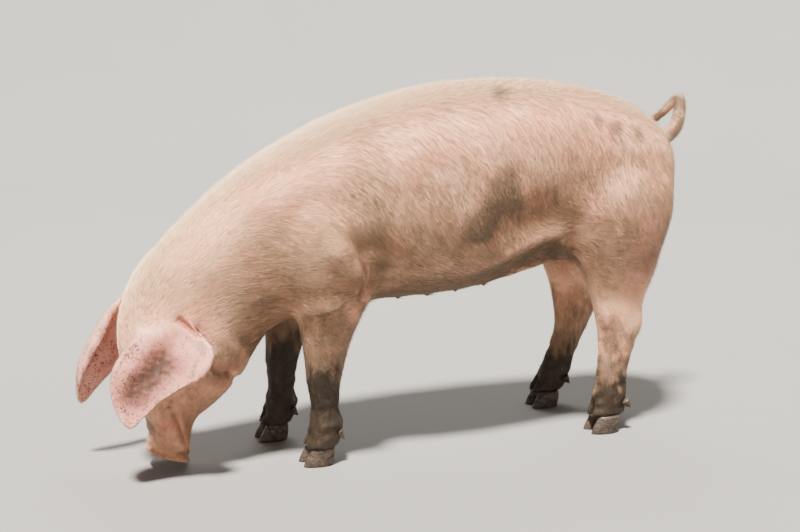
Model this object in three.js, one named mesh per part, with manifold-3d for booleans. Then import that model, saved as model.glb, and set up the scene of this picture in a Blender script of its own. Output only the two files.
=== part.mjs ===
// A lop-eared white pig, life size, standing with its snout down to the ground as it roots.
// Millimetres. +X is the way the pig faces, +Y is its left side and +Z is up.
// The body is one long loft from rump to snout, parted into trunk, neck, head and snout.
// Legs, ears and tail are lofts of their own, trimmed where they grow out of the body.

import * as THREE from "three";
import { mergeVertices } from "three/addons/utils/BufferGeometryUtils.js";
import Module from "manifold-3d";

const wasm = await Module();
wasm.setup();

const GAP = 0.3; // clearance kept between neighbouring pieces
const LEFT = 1;
const RIGHT = -1;
const BODY_SIDES = 28;
const RINGS_PER_RIB = 2.2;
const LEG_SIDES = 14;
const LEG_RINGS = 18;
const HOOF_HEIGHT = 38;
const EYE_RADIUS = 13;

const hide = new THREE.MeshStandardMaterial({ color: 0xd9a893, roughness: 0.75, metalness: 0 });
const earHide = new THREE.MeshStandardMaterial({ color: 0xd6a09a, roughness: 0.7, metalness: 0 });
const muddyHide = new THREE.MeshStandardMaterial({ color: 0x6b5344, roughness: 0.85, metalness: 0 });
const snoutHide = new THREE.MeshStandardMaterial({ color: 0xc98f7f, roughness: 0.6, metalness: 0 });
const horn = new THREE.MeshStandardMaterial({ color: 0x4a3b30, roughness: 0.6, metalness: 0 });
const eyeball = new THREE.MeshStandardMaterial({ color: 0x2a1c14, roughness: 0.15, metalness: 0 });

// ---- lofting -------------------------------------------------------------------------------

// A smooth value along a row of numbers, v running from 0 to 1 over the whole row.
function along(rows, v) {
  const triples = [];
  const width = rows[0].length;
  for (let k = 0; k < width; k += 3) {
    const points = rows.map((r) => new THREE.Vector3(r[k], r[k + 1] ?? 0, r[k + 2] ?? 0));
    const p = new THREE.CatmullRomCurve3(points, false, "catmullrom", 0.5).getPoint(v);
    triples.push(p.x, p.y, p.z);
  }
  return triples.slice(0, width);
}

// A closed surface through rings of points. Each ring has the same number of points.
function skinOver(rings) {
  const sides = rings[0].length;
  const points = rings.flat();
  const faces = [];
  for (let r = 0; r < rings.length - 1; r += 1) {
    for (let s = 0; s < sides; s += 1) {
      const a = r * sides + s;
      const b = r * sides + ((s + 1) % sides);
      faces.push(a, b, b + sides, a, b + sides, a + sides);
    }
  }
  const last = (rings.length - 1) * sides;
  const middle = (ring) => ring.reduce((m, p) => m.add(p), new THREE.Vector3()).divideScalar(sides);
  points.push(middle(rings[0]), middle(rings[rings.length - 1]));
  for (let s = 0; s < sides; s += 1) {
    const next = (s + 1) % sides;
    faces.push(points.length - 2, next, s);
    faces.push(points.length - 1, last + s, last + next);
  }
  const geometry = new THREE.BufferGeometry().setFromPoints(points);
  geometry.setIndex(faces);
  return geometry;
}

// A three.js geometry as a manifold-3d solid, turned right side out.
function solid(geometry) {
  const bare = geometry.clone();
  bare.deleteAttribute("normal");
  bare.deleteAttribute("uv");
  const merged = mergeVertices(bare, 1e-3);
  const make = (triVerts) =>
    new wasm.Manifold(
      new wasm.Mesh({ numProp: 3, vertProperties: merged.attributes.position.array, triVerts }),
    );
  const triVerts = new Uint32Array(merged.index.array);
  const made = make(triVerts);
  return made.volume() > 0 ? made : make(triVerts.reverse());
}

// The largest of the bodies that a cut has left.
function largest(body) {
  return body.decompose().reduce((a, b) => (b.volume() > a.volume() ? b : a));
}

// A solid as a three.js geometry.
function surface(body) {
  const mesh = body.getMesh();
  const geometry = new THREE.BufferGeometry();
  geometry.setAttribute("position", new THREE.BufferAttribute(mesh.vertProperties, mesh.numProp));
  geometry.setIndex(new THREE.BufferAttribute(mesh.triVerts, 1));
  geometry.computeVertexNormals();
  return geometry;
}

const signedPower = (value, power) => Math.sign(value) * Math.abs(value) ** power;
const bump = (d, width) => Math.exp(-(d * d) / (width * width));

// ---- body ----------------------------------------------------------------------------------

// One rib to a row: the x and z of its top on the back, the x and z of its foot on the belly,
// its half width, and how far up the rib it is widest.
const RIBS = [
  [-581, 668, -580, 600, 26, 0.5],
  [-573, 694, -570, 545, 76, 0.5],
  [-538, 732, -540, 486, 120, 0.5],
  [-466, 781, -490, 440, 150, 0.52],
  [-365, 816, -395, 420, 162, 0.55],
  [-245, 838, -260, 402, 166, 0.55],
  [-105, 844, -110, 366, 176, 0.5],
  [40, 835, 35, 350, 184, 0.48],
  [172, 804, 165, 348, 180, 0.5],
  [296, 762, 285, 338, 166, 0.52],
  [402, 711, 370, 322, 152, 0.5],
  [496, 655, 428, 302, 138, 0.5],
  [578, 592, 456, 270, 126, 0.5],
  [650, 528, 476, 234, 117, 0.5],
  [708, 466, 500, 198, 110, 0.5],
  [746, 404, 526, 168, 102, 0.52],
  [767, 335, 552, 142, 92, 0.55],
  [768, 262, 578, 121, 74, 0.6],
  [744, 196, 599, 107, 60, 0.58],
  [720, 130, 610, 84, 52, 0.52],
  [713, 86, 615, 56, 46, 0.5],
  [713, 60, 619, 30, 46, 0.5],
  [715, 38, 622, 7, 49, 0.5],
];
const HEAD_CUT = { x: 606, z: 374, tilt: -0.72 };
const NECK_CUT = { x: 365, z: 520, tilt: -0.24 };
const SNOUT_CUT = { x: 669, z: 62, tilt: -1.27 };
const BODY_SQUARENESS = 0.86; // 1 is an ellipse, less is boxier

// Bulges and hollows of the flanks: where they lie, how far they reach and how deep they are.
const SWELLS = [
  { x: -215, z: 520, reach: 85, depth: -10 },
  { x: 570, z: 235, reach: 60, depth: 6 },
  { x: 465, z: 530, reach: 80, depth: -6 },
];

function bodyRing(v, grow) {
  const [topX, topZ, footX, footZ, half, widest] = along(RIBS, v);
  const top = new THREE.Vector3(topX, 0, topZ);
  const foot = new THREE.Vector3(footX, 0, footZ);
  const up = top.clone().sub(foot);
  const height = up.length();
  up.normalize();
  const centre = foot.clone().addScaledVector(up, height * widest);
  const ring = [];
  for (let s = 0; s < BODY_SIDES; s += 1) {
    const turn = (2 * Math.PI * s) / BODY_SIDES;
    const rise = signedPower(Math.cos(turn), BODY_SQUARENESS);
    const reach = rise > 0 ? height * (1 - widest) : height * widest;
    const p = centre.clone().addScaledVector(up, rise * (reach + grow));
    const side = signedPower(Math.sin(turn), BODY_SQUARENESS);
    let swell = 0;
    for (const w of SWELLS) swell += w.depth * bump(Math.hypot(p.x - w.x, p.z - w.z), w.reach);
    p.y = side * (half + grow) + Math.sin(turn) * swell;
    ring.push(p);
  }
  return ring;
}

function bodyLoft(grow = 0) {
  const count = Math.round((RIBS.length - 1) * RINGS_PER_RIB);
  const rings = [];
  for (let r = 0; r <= count; r += 1) rings.push(bodyRing(r / count, grow));
  return solid(skinOver(rings));
}

// A slab far larger than the pig, on the front side of a cut across the body.
function beyond(cut, shift) {
  const size = 2000; // mm, far more than the pig
  const slab = new THREE.BoxGeometry(size, size, size);
  slab.translate(size / 2 + shift, 0, 0);
  slab.rotateY(-cut.tilt);
  slab.translate(cut.x, 0, cut.z);
  return solid(slab);
}

// ---- legs ----------------------------------------------------------------------------------

// One level to a row, from the top down: height, front and back edges, inner and outer edges.
const FORE_LEVELS = [
  [640, 380, 240, 40, 110],
  [595, 410, 200, 40, 166],
  [545, 428, 172, 40, 184],
  [490, 434, 166, 40, 190],
  [435, 428, 182, 42, 188],
  [385, 410, 212, 46, 179],
  [335, 392, 240, 52, 166],
  [288, 384, 262, 60, 154],
  [242, 378, 277, 64, 147],
  [205, 371, 286, 68, 141],
  [160, 364, 294, 70, 136],
  [115, 361, 294, 69, 137],
  [80, 368, 286, 65, 142],
  [56, 376, 292, 62, 145],
  [HOOF_HEIGHT, 382, 300, 60, 146],
];
const HIND_LEVELS = [
  [706, -360, -492, 30, 80],
  [672, -320, -520, 24, 138],
  [626, -288, -545, 20, 173],
  [560, -264, -556, 20, 185],
  [490, -262, -543, 28, 182],
  [432, -282, -520, 38, 173],
  [382, -310, -499, 54, 164],
  [335, -328, -480, 68, 157],
  [290, -340, -468, 78, 151],
  [250, -348, -465, 84, 147],
  [210, -352, -455, 89, 143],
  [165, -351, -439, 93, 141],
  [115, -346, -430, 93, 143],
  [80, -339, -431, 89, 148],
  [56, -332, -428, 87, 151],
  [HOOF_HEIGHT, -326, -422, 86, 152],
];
// How far each right leg stands ahead of the left one, from the floor up.
const RIGHT_FORE_LEAD = { foot: 50, above: 620 };
const RIGHT_HIND_LEAD = { foot: 46, above: 230 };

const LEG_NARROWING = 0.14; // the back of a leg is sharper than the front by this share

const smooth = (t) => t * t * (3 - 2 * t);
const lead = (rule, z) => rule.foot * smooth(THREE.MathUtils.clamp(1 - z / rule.above, 0, 1));

function legRing(levels, v, side, rule, grow) {
  const [z, front, back, inner, outer] = along(levels, v);
  const shift = side === RIGHT ? lead(rule, z) : 0;
  const ring = [];
  for (let s = 0; s < LEG_SIDES; s += 1) {
    const turn = (2 * Math.PI * s) / LEG_SIDES;
    const fore = Math.cos(turn);
    const narrow = 1 + LEG_NARROWING * fore;
    const x = (front + back) / 2 + shift + fore * ((front - back) / 2 + grow);
    const y = (outer + inner) / 2 + Math.sin(turn) * narrow * ((outer - inner) / 2 + grow);
    ring.push(new THREE.Vector3(x, side * y, z));
  }
  return ring;
}

function legLoft(levels, side, rule, grow = 0) {
  const rings = [];
  for (let r = 0; r <= LEG_RINGS; r += 1) {
    rings.push(legRing(levels, r / LEG_RINGS, side, rule, grow));
  }
  return solid(skinOver(rings));
}

// ---- hooves --------------------------------------------------------------------------------

// One level to a row, from the floor up: height, toe, heel, and half width of one claw.
const CLAW_LEVELS = [
  [0, 47, -24, 16.5],
  [13, 42, -27, 18],
  [26, 34, -28, 18.5],
  [HOOF_HEIGHT - GAP, 25, -26, 17.5],
];
const CLAW_SIDES = 14;
const CLAW_SPREAD = 20.5; // from the middle of the foot to the middle of a claw
const CLAW_SQUARENESS = 0.85;
const CLAW_TAPER = 0.28; // how much narrower a claw is at its toe
const DEWCLAW = { radius: 10.5, length: 30, height: 66, spread: 21, sides: 8, trail: 0.55 };

function clawLoft(x, y) {
  const rings = CLAW_LEVELS.map(([z, toe, heel, half]) => {
    const ring = [];
    for (let s = 0; s < CLAW_SIDES; s += 1) {
      const turn = (2 * Math.PI * s) / CLAW_SIDES;
      const fore = signedPower(Math.cos(turn), CLAW_SQUARENESS);
      const taper = 1 - CLAW_TAPER * Math.max(fore, 0);
      const px = x + (toe + heel) / 2 + (fore * (toe - heel)) / 2;
      ring.push(new THREE.Vector3(px, y + Math.sin(turn) * half * taper, z));
    }
    return ring;
  });
  return solid(skinOver(rings));
}

function dewclawLoft(x, y) {
  const cone = new THREE.ConeGeometry(DEWCLAW.radius, DEWCLAW.length, DEWCLAW.sides, 2);
  cone.rotateX(-Math.PI / 2); // its point hangs down
  cone.translate(0, 0, -DEWCLAW.length / 2);
  cone.rotateY(DEWCLAW.trail); // and trails behind
  cone.translate(x, y, DEWCLAW.height + DEWCLAW.radius / 2);
  return solid(cone);
}

// ---- ears ----------------------------------------------------------------------------------

// An ear lies about a plane: along it from the root to the tip, across it from the front edge
// to the rear lobe, and out from the face. One station to a row: how far along, the front
// edge and the rear edge across, the thickness, how far out the front half stands, how far the
// front margin is rolled under, and how far out the rear margin is turned.
const EAR_STATIONS = [
  [-22, -28, 46, 22, 0, 6, 0],
  [20, -34, 92, 16, 8, 14, 18],
  [45, -42, 122, 13, 12, 20, 27],
  [79, -56, 126, 12, 15, 26, 27],
  [107, -66, 113, 11, 16, 30, 22],
  [135, -73, 88, 10.5, 16, 30, 17],
  [164, -71, 60, 10, 15, 26, 13],
  [192, -61, 38, 9.5, 12, 20, 9],
  [221, -43, 21, 9, 7, 12, 5],
  [241, -24, 10, 8, 3, 5, 2],
  [251, -9, 0, 6, 0, 1, 0],
];
const EAR_HALF_STEPS = 7;
const EAR_RINGS = 16;
const BROW_PLACE = 0.18; // where an ear's front edge arches most, as a share of its length
const BROW_REACH = 0.2;
const EARS = {
  [LEFT]: {
    root: [684, 85, 368],
    along: [78, 46, -212],
    across: [-216, 50, 66],
    long: 1,
    wide: 1,
    brow: 0,
  },
  [RIGHT]: {
    root: [698, -85, 390],
    along: [126, -34, -242],
    across: [-216, -50, 66],
    long: 1.2,
    wide: 0.82,
    brow: 20,
  },
};

// The cross section of an ear, one point to a row: its share of the width from the front edge,
// how much of the roll it is tucked back by, and its shares of the stand, roll and flare outward.
const FOLDS = [
  [0, 0.75, 1, -1, 0],
  [0, 0, 1, -0.5, 0],
  [0.12, 0, 1, 0.15, 0],
  [0.38, 0, 0.7, 0, 0],
  [0.66, 0, 0.2, 0, 0],
  [0.86, 0, 0, 0, 0.35],
  [1, 0, 0, 0, 1],
];

// The middle of an ear's thickness at one station, from the front margin to the rear one.
function earFold([, front, rear, , stand, roll, flare]) {
  const points = FOLDS.map(([share, tuck, lift, curl, turn]) => {
    const across = front + share * (rear - front) + tuck * roll;
    return new THREE.Vector3(across, lift * stand + curl * roll + turn * flare, 0);
  });
  return new THREE.CatmullRomCurve3(points);
}

function earRing(v, side) {
  const { root, along: lengthwise, across: crosswise, long, wide, brow } = EARS[side];
  const station = along(EAR_STATIONS, v);
  station[1] -= brow * bump(v - BROW_PLACE, BROW_REACH);
  const fold = earFold(station);
  const tipward = new THREE.Vector3(...lengthwise).normalize();
  const rearward = new THREE.Vector3(...crosswise);
  rearward.addScaledVector(tipward, -rearward.dot(tipward)).normalize();
  const outward = new THREE.Vector3().crossVectors(tipward, rearward).multiplyScalar(side);
  const at = (p) => {
    const placed = new THREE.Vector3(...root).addScaledVector(tipward, station[0] * long);
    return placed.addScaledVector(rearward, p.x * wide).addScaledVector(outward, p.y);
  };
  const outer = [];
  const inner = [];
  for (let s = 0; s <= EAR_HALF_STEPS; s += 1) {
    const q = s / EAR_HALF_STEPS;
    const middle = fold.getPoint(q);
    const onward = fold.getTangent(q);
    const half = 0.25 * station[3] * (1 + Math.sin(Math.PI * q)); // half as thick at the margins
    const off = new THREE.Vector3(-onward.y, onward.x, 0).multiplyScalar(half);
    outer.push(at(middle.clone().add(off)));
    inner.push(at(middle.clone().sub(off)));
  }
  return [...outer, ...inner.reverse()];
}

function earLoft(side) {
  const rings = [];
  for (let r = 0; r <= EAR_RINGS; r += 1) rings.push(earRing(r / EAR_RINGS, side));
  return solid(skinOver(rings));
}

// ---- tail ----------------------------------------------------------------------------------

// One station to a row: where the middle of the tail is, and its radius.
const TAIL_STATIONS = [
  [-545, 0, 668, 17],
  [-578, 0, 690, 15],
  [-600, 0, 702, 12.5],
  [-617, -2, 720, 11.5],
  [-627, -7, 748, 10.5],
  [-633, -14, 770, 9],
  [-635, -22, 786, 7],
  [-626, -31, 776, 6.5],
  [-615, -42, 760, 6],
  [-603, -54, 743, 5.5],
  [-590, -66, 730, 5],
];
const TAIL_SIDES = 8;
const TAIL_RINGS = 22;

function tailLoft() {
  const path = new THREE.CatmullRomCurve3(TAIL_STATIONS.map(([x, y, z]) => new THREE.Vector3(x, y, z)));
  const rings = [];
  let across = new THREE.Vector3(0, 1, 0);
  for (let r = 0; r <= TAIL_RINGS; r += 1) {
    const v = r / TAIL_RINGS;
    const radius = along(TAIL_STATIONS, v)[3];
    const centre = path.getPoint(v);
    const ahead = path.getTangent(v);
    across = across.clone().addScaledVector(ahead, -across.dot(ahead)).normalize();
    const other = new THREE.Vector3().crossVectors(ahead, across);
    const ring = [];
    for (let s = 0; s < TAIL_SIDES; s += 1) {
      const turn = (2 * Math.PI * s) / TAIL_SIDES;
      const p = centre.clone().addScaledVector(across, Math.cos(turn) * radius);
      ring.push(p.addScaledVector(other, Math.sin(turn) * radius));
    }
    rings.push(ring);
  }
  return solid(skinOver(rings));
}

// ---- eyes ----------------------------------------------------------------------------------

const EYE = { x: 716, y: 73, z: 268 };

function ball(radius, side) {
  const sphere = new THREE.SphereGeometry(radius, 12, 9);
  sphere.translate(EYE.x, side * EYE.y, EYE.z);
  return solid(sphere);
}

// ---- assembly ------------------------------------------------------------------------------

const pig = new THREE.Group();

function add(name, body, material) {
  const mesh = new THREE.Mesh(surface(body), material);
  mesh.name = name;
  pig.add(mesh);
}

const body = bodyLoft();
const bodyAndGap = bodyLoft(GAP);
const sideName = (side) => (side === LEFT ? "left" : "right");

let head = body.intersect(beyond(HEAD_CUT, GAP)).subtract(beyond(SNOUT_CUT, -GAP));
const snout = body.intersect(beyond(SNOUT_CUT, 0));
const neck = body.intersect(beyond(NECK_CUT, GAP)).subtract(beyond(HEAD_CUT, 0));
const trunk = body.subtract(beyond(NECK_CUT, 0));

for (const side of [LEFT, RIGHT]) {
  head = head.subtract(ball(EYE_RADIUS + GAP, side));
  add(`eye_${sideName(side)}`, ball(EYE_RADIUS, side), eyeball);
  add(`ear_${sideName(side)}`, largest(earLoft(side).subtract(bodyAndGap)), earHide);
}
add("trunk", largest(trunk), hide);
add("neck", largest(neck), hide);
add("head", largest(head), hide);
add("snout", largest(snout), snoutHide);
add("tail", largest(tailLoft().subtract(bodyAndGap)), hide);

const LEGS = [
  { name: "foreleg", levels: FORE_LEVELS, rule: RIGHT_FORE_LEAD },
  { name: "hindleg", levels: HIND_LEVELS, rule: RIGHT_HIND_LEAD },
];
for (const { name, levels, rule } of LEGS) {
  const [, front, back, inner, outer] = levels[levels.length - 1];
  for (const side of [LEFT, RIGHT]) {
    const shift = side === RIGHT ? lead(rule, HOOF_HEIGHT) : 0;
    const x = (front + back) / 2 + shift;
    const y = (inner + outer) / 2;
    const grown = legLoft(levels, side, rule, GAP);
    add(`${name}_${sideName(side)}`, largest(legLoft(levels, side, rule).subtract(bodyAndGap)), muddyHide);
    for (const [toe, out] of [["outer", 1], ["inner", -1]]) {
      const claw = clawLoft(x, side * (y + out * CLAW_SPREAD));
      add(`hoof_${name}_${sideName(side)}_${toe}`, claw, horn);
      const dew = dewclawLoft(back + shift, side * (y + out * DEWCLAW.spread));
      add(`dewclaw_${name}_${sideName(side)}_${toe}`, largest(dew.subtract(grown)), horn);
    }
  }
}

// The origin is on the floor, under the middle of the whole pig.
const box = new THREE.Box3().setFromObject(pig);
pig.position.set(-(box.min.x + box.max.x) / 2, -(box.min.y + box.max.y) / 2, -box.min.z);

export default pig;
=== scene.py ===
"""A lop-eared white pig, life size, standing with its snout down to root.

One skin stands for all the nodes of flesh. It is fused from copies of them, smoothed, and worked with
folds, lids, lips, nostrils and teats. The coat is thin bristle tufts that lie over that skin. Eyes,
hooves and dewclaws are pieces of their own. Metres, +X ahead of the pig, +Y its left side, +Z up.
"""

import bpy
import numpy as np
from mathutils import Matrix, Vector
from mathutils.bvhtree import BVHTree


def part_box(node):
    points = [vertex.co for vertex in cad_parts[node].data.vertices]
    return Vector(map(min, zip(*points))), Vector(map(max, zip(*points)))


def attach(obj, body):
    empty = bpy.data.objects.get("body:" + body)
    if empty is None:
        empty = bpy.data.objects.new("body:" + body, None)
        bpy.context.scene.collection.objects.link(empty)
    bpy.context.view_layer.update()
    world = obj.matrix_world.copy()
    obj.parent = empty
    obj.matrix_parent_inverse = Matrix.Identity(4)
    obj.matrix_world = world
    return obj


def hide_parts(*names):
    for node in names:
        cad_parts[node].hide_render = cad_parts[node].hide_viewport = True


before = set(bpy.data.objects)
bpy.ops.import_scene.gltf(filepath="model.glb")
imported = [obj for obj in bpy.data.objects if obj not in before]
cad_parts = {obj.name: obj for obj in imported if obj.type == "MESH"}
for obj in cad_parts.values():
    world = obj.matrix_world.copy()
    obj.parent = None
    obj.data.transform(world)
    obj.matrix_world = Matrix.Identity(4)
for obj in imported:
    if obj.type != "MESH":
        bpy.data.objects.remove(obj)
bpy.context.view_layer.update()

bl_info = {
    "name": "Rooting pig",
    "version": (1, 0, 0),
    "blender": (4, 5, 0),
    "location": "View3D > Sidebar > Pig",
    "description": "Skin, coat, eyes and hooves of a standing white pig, over its solid model",
    "category": "Add Mesh",
}

BODY = "root"
MM = 0.001
SIDES = {"left": 1, "right": -1}
PARTS = ("body", "head", "snout", "ear", "leg", "tail")
LEGS = [f"{end}leg_{side}" for end in ("fore", "hind") for side in SIDES]
FLESH = ["trunk", "neck", "head", "snout", "tail", "ear_left", "ear_right", *LEGS]
CLAWS = sorted(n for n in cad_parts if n.startswith(("hoof_", "dewclaw_")))
MARKS = ("mud", "grime_and_painted_shade", "speck", "blush", "tan", "shade")


# ---- places --------------------------------------------------------------------------------

TINY = 1e-9


def box(node):
    """The lowest and the highest corner of a node's box, as two rows."""
    return np.array(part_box(node))


def middle(node):
    """The middle of a node's box."""
    low, high = box(node)
    return low + 0.5 * (high - low)


def drawn(node, shares):
    """A point or a line as seen from the side, in x and z, from shares of a node's box ahead and up."""
    low, high = box(node)[:, (0, 2)]
    return low + np.array(shares) * (high - low)


def ramp(value, low, high):
    """A smooth step from 0 at low to 1 at high."""
    t = np.clip((value - low) / (high - low), 0, 1)
    return t * t * (3 - 2 * t)


def hill(distance, reach):
    """1 at no distance, about a third at reach, and next to nothing at twice that."""
    return np.exp(-((distance / reach) ** 2))


def unit(vectors):
    """Vectors made one long."""
    return vectors / np.maximum(np.linalg.norm(vectors, axis=-1, keepdims=True), TINY)


def to_line(points, line):
    """How far each point is from a line of straight runs, or from the one point that a line has."""
    nearest = np.linalg.norm(points - line[0], axis=1)
    for a, b in zip(line[:-1], line[1:]):
        run = b - a
        share = np.clip((points - a) @ run / (run @ run), 0, 1)
        nearest = np.minimum(nearest, np.linalg.norm(points - a - share[:, None] * run, axis=1))
    return nearest


RIPPLE_WAVES = 9
RIPPLE_SPREAD = (0.7, 1.4)
RIPPLE_SHIFT = 6.3


def ripple(points, size, seed):
    """A smooth value that wanders, mostly from -1 to 1, on waves about size long that run all ways."""
    rng = np.random.default_rng(seed)
    total = np.zeros(len(points))
    for _ in range(RIPPLE_WAVES):
        heading = unit(rng.normal(size=3))
        length = size * rng.uniform(*RIPPLE_SPREAD)
        total += np.sin(points @ heading * (2 * np.pi / length) + rng.uniform(0, RIPPLE_SHIFT))
    return total / np.sqrt(RIPPLE_WAVES)


# ---- meshes --------------------------------------------------------------------------------

MERGE = 2e-5


def choose(*objects):
    """Selects only these objects and makes the first one active."""
    bpy.ops.object.select_all(action="DESELECT")
    for o in objects:
        o.select_set(True)
    bpy.context.view_layer.objects.active = objects[0]


def copy_of(node, name):
    """A free copy of a CAD node, its loose triangles merged into one surface."""
    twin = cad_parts[node].copy()
    twin.data = twin.data.copy()
    twin.parent = None
    twin.name = name
    for key in list(twin.keys()):
        del twin[key]
    twin.data.materials.clear()
    bpy.context.scene.collection.objects.link(twin)
    choose(twin)
    bpy.ops.object.mode_set(mode="EDIT")
    bpy.ops.mesh.select_all(action="SELECT")
    bpy.ops.mesh.remove_doubles(threshold=MERGE)
    bpy.ops.mesh.normals_make_consistent(inside=False)
    bpy.ops.object.mode_set(mode="OBJECT")
    return twin


def finish_modifier(obj, kind, **settings):
    """Adds a modifier with its settings and applies it."""
    choose(obj)
    bpy.ops.object.modifier_add(type=kind)
    modifier = obj.modifiers[-1]
    for key, value in settings.items():
        setattr(modifier, key, value)
    bpy.ops.object.modifier_apply(modifier=modifier.name)


def read(items, key, width=1, kind=np.float32):
    """One property of a mesh's items: a number for each, or a row of numbers where it has width."""
    flat = np.empty(len(items) * width, kind)
    items.foreach_get(key, flat)
    rows = flat.reshape(-1, width) if width > 1 else flat
    return rows.astype(float) if kind == np.float32 else rows


def corners(obj):
    """A mesh's vertices as rows of x, y and z."""
    return read(obj.data.vertices, "co", 3)


def set_corners(obj, places):
    """Moves a mesh's vertices to these places."""
    obj.data.vertices.foreach_set("co", places.astype(np.float32).ravel())
    obj.data.update()


def blurred(values, links, rounds, rate):
    """Each vertex's row of values drawn towards its neighbours', rate of the way in each round."""
    a, b = links.T
    count = len(values)
    degree = np.maximum(np.bincount(a, minlength=count) + np.bincount(b, minlength=count), 1)
    for _ in range(rounds):
        drawn_in = np.empty_like(values)
        for k, column in enumerate(values.T):
            drawn_in[:, k] = np.bincount(a, column[b], count) + np.bincount(b, column[a], count)
        values = values + np.reshape(rate, (-1, 1)) * (drawn_in / degree[:, None] - values)
    return values


def set_field(obj, name, values):
    """Keeps a number or a row of three for each vertex, under a name that the materials read."""
    kind, key = ("FLOAT", "value") if values.ndim == 1 else ("FLOAT_VECTOR", "vector")
    field = obj.data.attributes.new(name, kind, "POINT")
    field.data.foreach_set(key, values.astype(np.float32).ravel())


# ---- materials -----------------------------------------------------------------------------

TIMES = {"operation": "MULTIPLY"}
TIMES_PLUS = {"operation": "MULTIPLY_ADD"}
STEP = {"interpolation_type": "SMOOTHSTEP"}
BLEND = {"data_type": "RGBA", "out": 2}


def colour(code):
    """The linear colour of an sRGB hex code."""
    parts = [int(code[k : k + 2], 16) / 255 for k in (1, 3, 5)]
    return [c / 12.92 if c <= 0.04045 else ((c + 0.055) / 1.055) ** 2.4 for c in parts] + [1.0]


def feed(tree, node, inputs):
    """Links a node's inputs to the sockets that are given for them, and sets the others."""
    for key, value in inputs.items():
        if isinstance(value, bpy.types.NodeSocket):
            tree.links.new(value, node.inputs[key])
        else:
            node.inputs[key].default_value = value


def add(tree, kind, inputs=(), out=0, **settings):
    """Adds a node with its settings and its inputs, by name or in order, and gives one output."""
    node = tree.nodes.new(f"ShaderNode{kind}")
    for key, value in settings.items():
        setattr(node, key, value)
    feed(tree, node, inputs if isinstance(inputs, dict) else dict(enumerate(inputs)))
    return node.outputs[out]


def new_material(name):
    """An empty material, its tree and its shader."""
    made = bpy.data.materials.new(name)
    made.use_nodes = True
    return made, made.node_tree, made.node_tree.nodes["Principled BSDF"]


def marked(tree, where, clean, worn, wet):
    """The markings that skin and coat share: dirt worked into the hide, specks, and mud from the feet up.
    The dirt's field also carries painted shade on surfaces turned down, in creases and in the ear's hollow,
    and the worn colour serves for both. Gives the colour, how far the mud is caked, and the lumps and grit
    of the dirt."""
    grime_and_painted_shade, speck, mud = (
        add(tree, "Attribute", out="Fac", attribute_name=name) for name in ("grime_and_painted_shade", "speck", "mud"))
    drawn_out = add(tree, "Mapping", {"Vector": where, "Scale": (1, 1, 0.45)})
    lumps, grit, pepper = (
        add(tree, "TexNoise", {"Vector": place, "Scale": 1 / size, "Detail": detail, "Roughness": rough})
        for place, size, detail, rough in (
            (drawn_out, 14 * MM, 4.0, 0.62), (where, 3.5 * MM, 3.0, 0.60), (where, 4.5 * MM, 3.0, 0.65)))
    swing = add(tree, "Math", [grit, 0.3, -0.5], **TIMES_PLUS)
    swing = add(tree, "Math", [lumps, 0.7, swing], **TIMES_PLUS)
    grime_and_painted_shade = add(tree, "Math", [swing, 1.2, grime_and_painted_shade], **TIMES_PLUS)
    pepper = add(tree, "Math", [speck, 0.22, pepper], **TIMES_PLUS)
    pepper = add(tree, "Math", [swing, 0.35, pepper], **TIMES_PLUS)
    mud = add(tree, "Math", [swing, 2.4, mud], **TIMES_PLUS)
    # dirt together with painted shade, both from the one field
    rubbed_and_shaded = add(tree, "MapRange", [grime_and_painted_shade, 0.15, 1.0, 0.0, 0.88], **STEP)
    specked = add(tree, "MapRange", [pepper, 0.71, 0.78, 0.0, 0.8], **STEP)
    caked = add(tree, "MapRange", [mud, 0.1, 1.2], **STEP)
    dry = add(tree, "MapRange", [grit, 0.42, 0.68, 0.0, 0.4], **STEP)
    crust = add(tree, "Mix", {0: dry, 6: colour(wet), 7: colour("#43331f")}, **BLEND)
    tone = clean
    for share, over in ((rubbed_and_shaded, colour(worn)), (specked, colour("#33271e")), (caked, crust)):
        tone = add(tree, "Mix", {0: share, 6: tone, 7: over}, **BLEND)
    return tone, caked, lumps, grit


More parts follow.
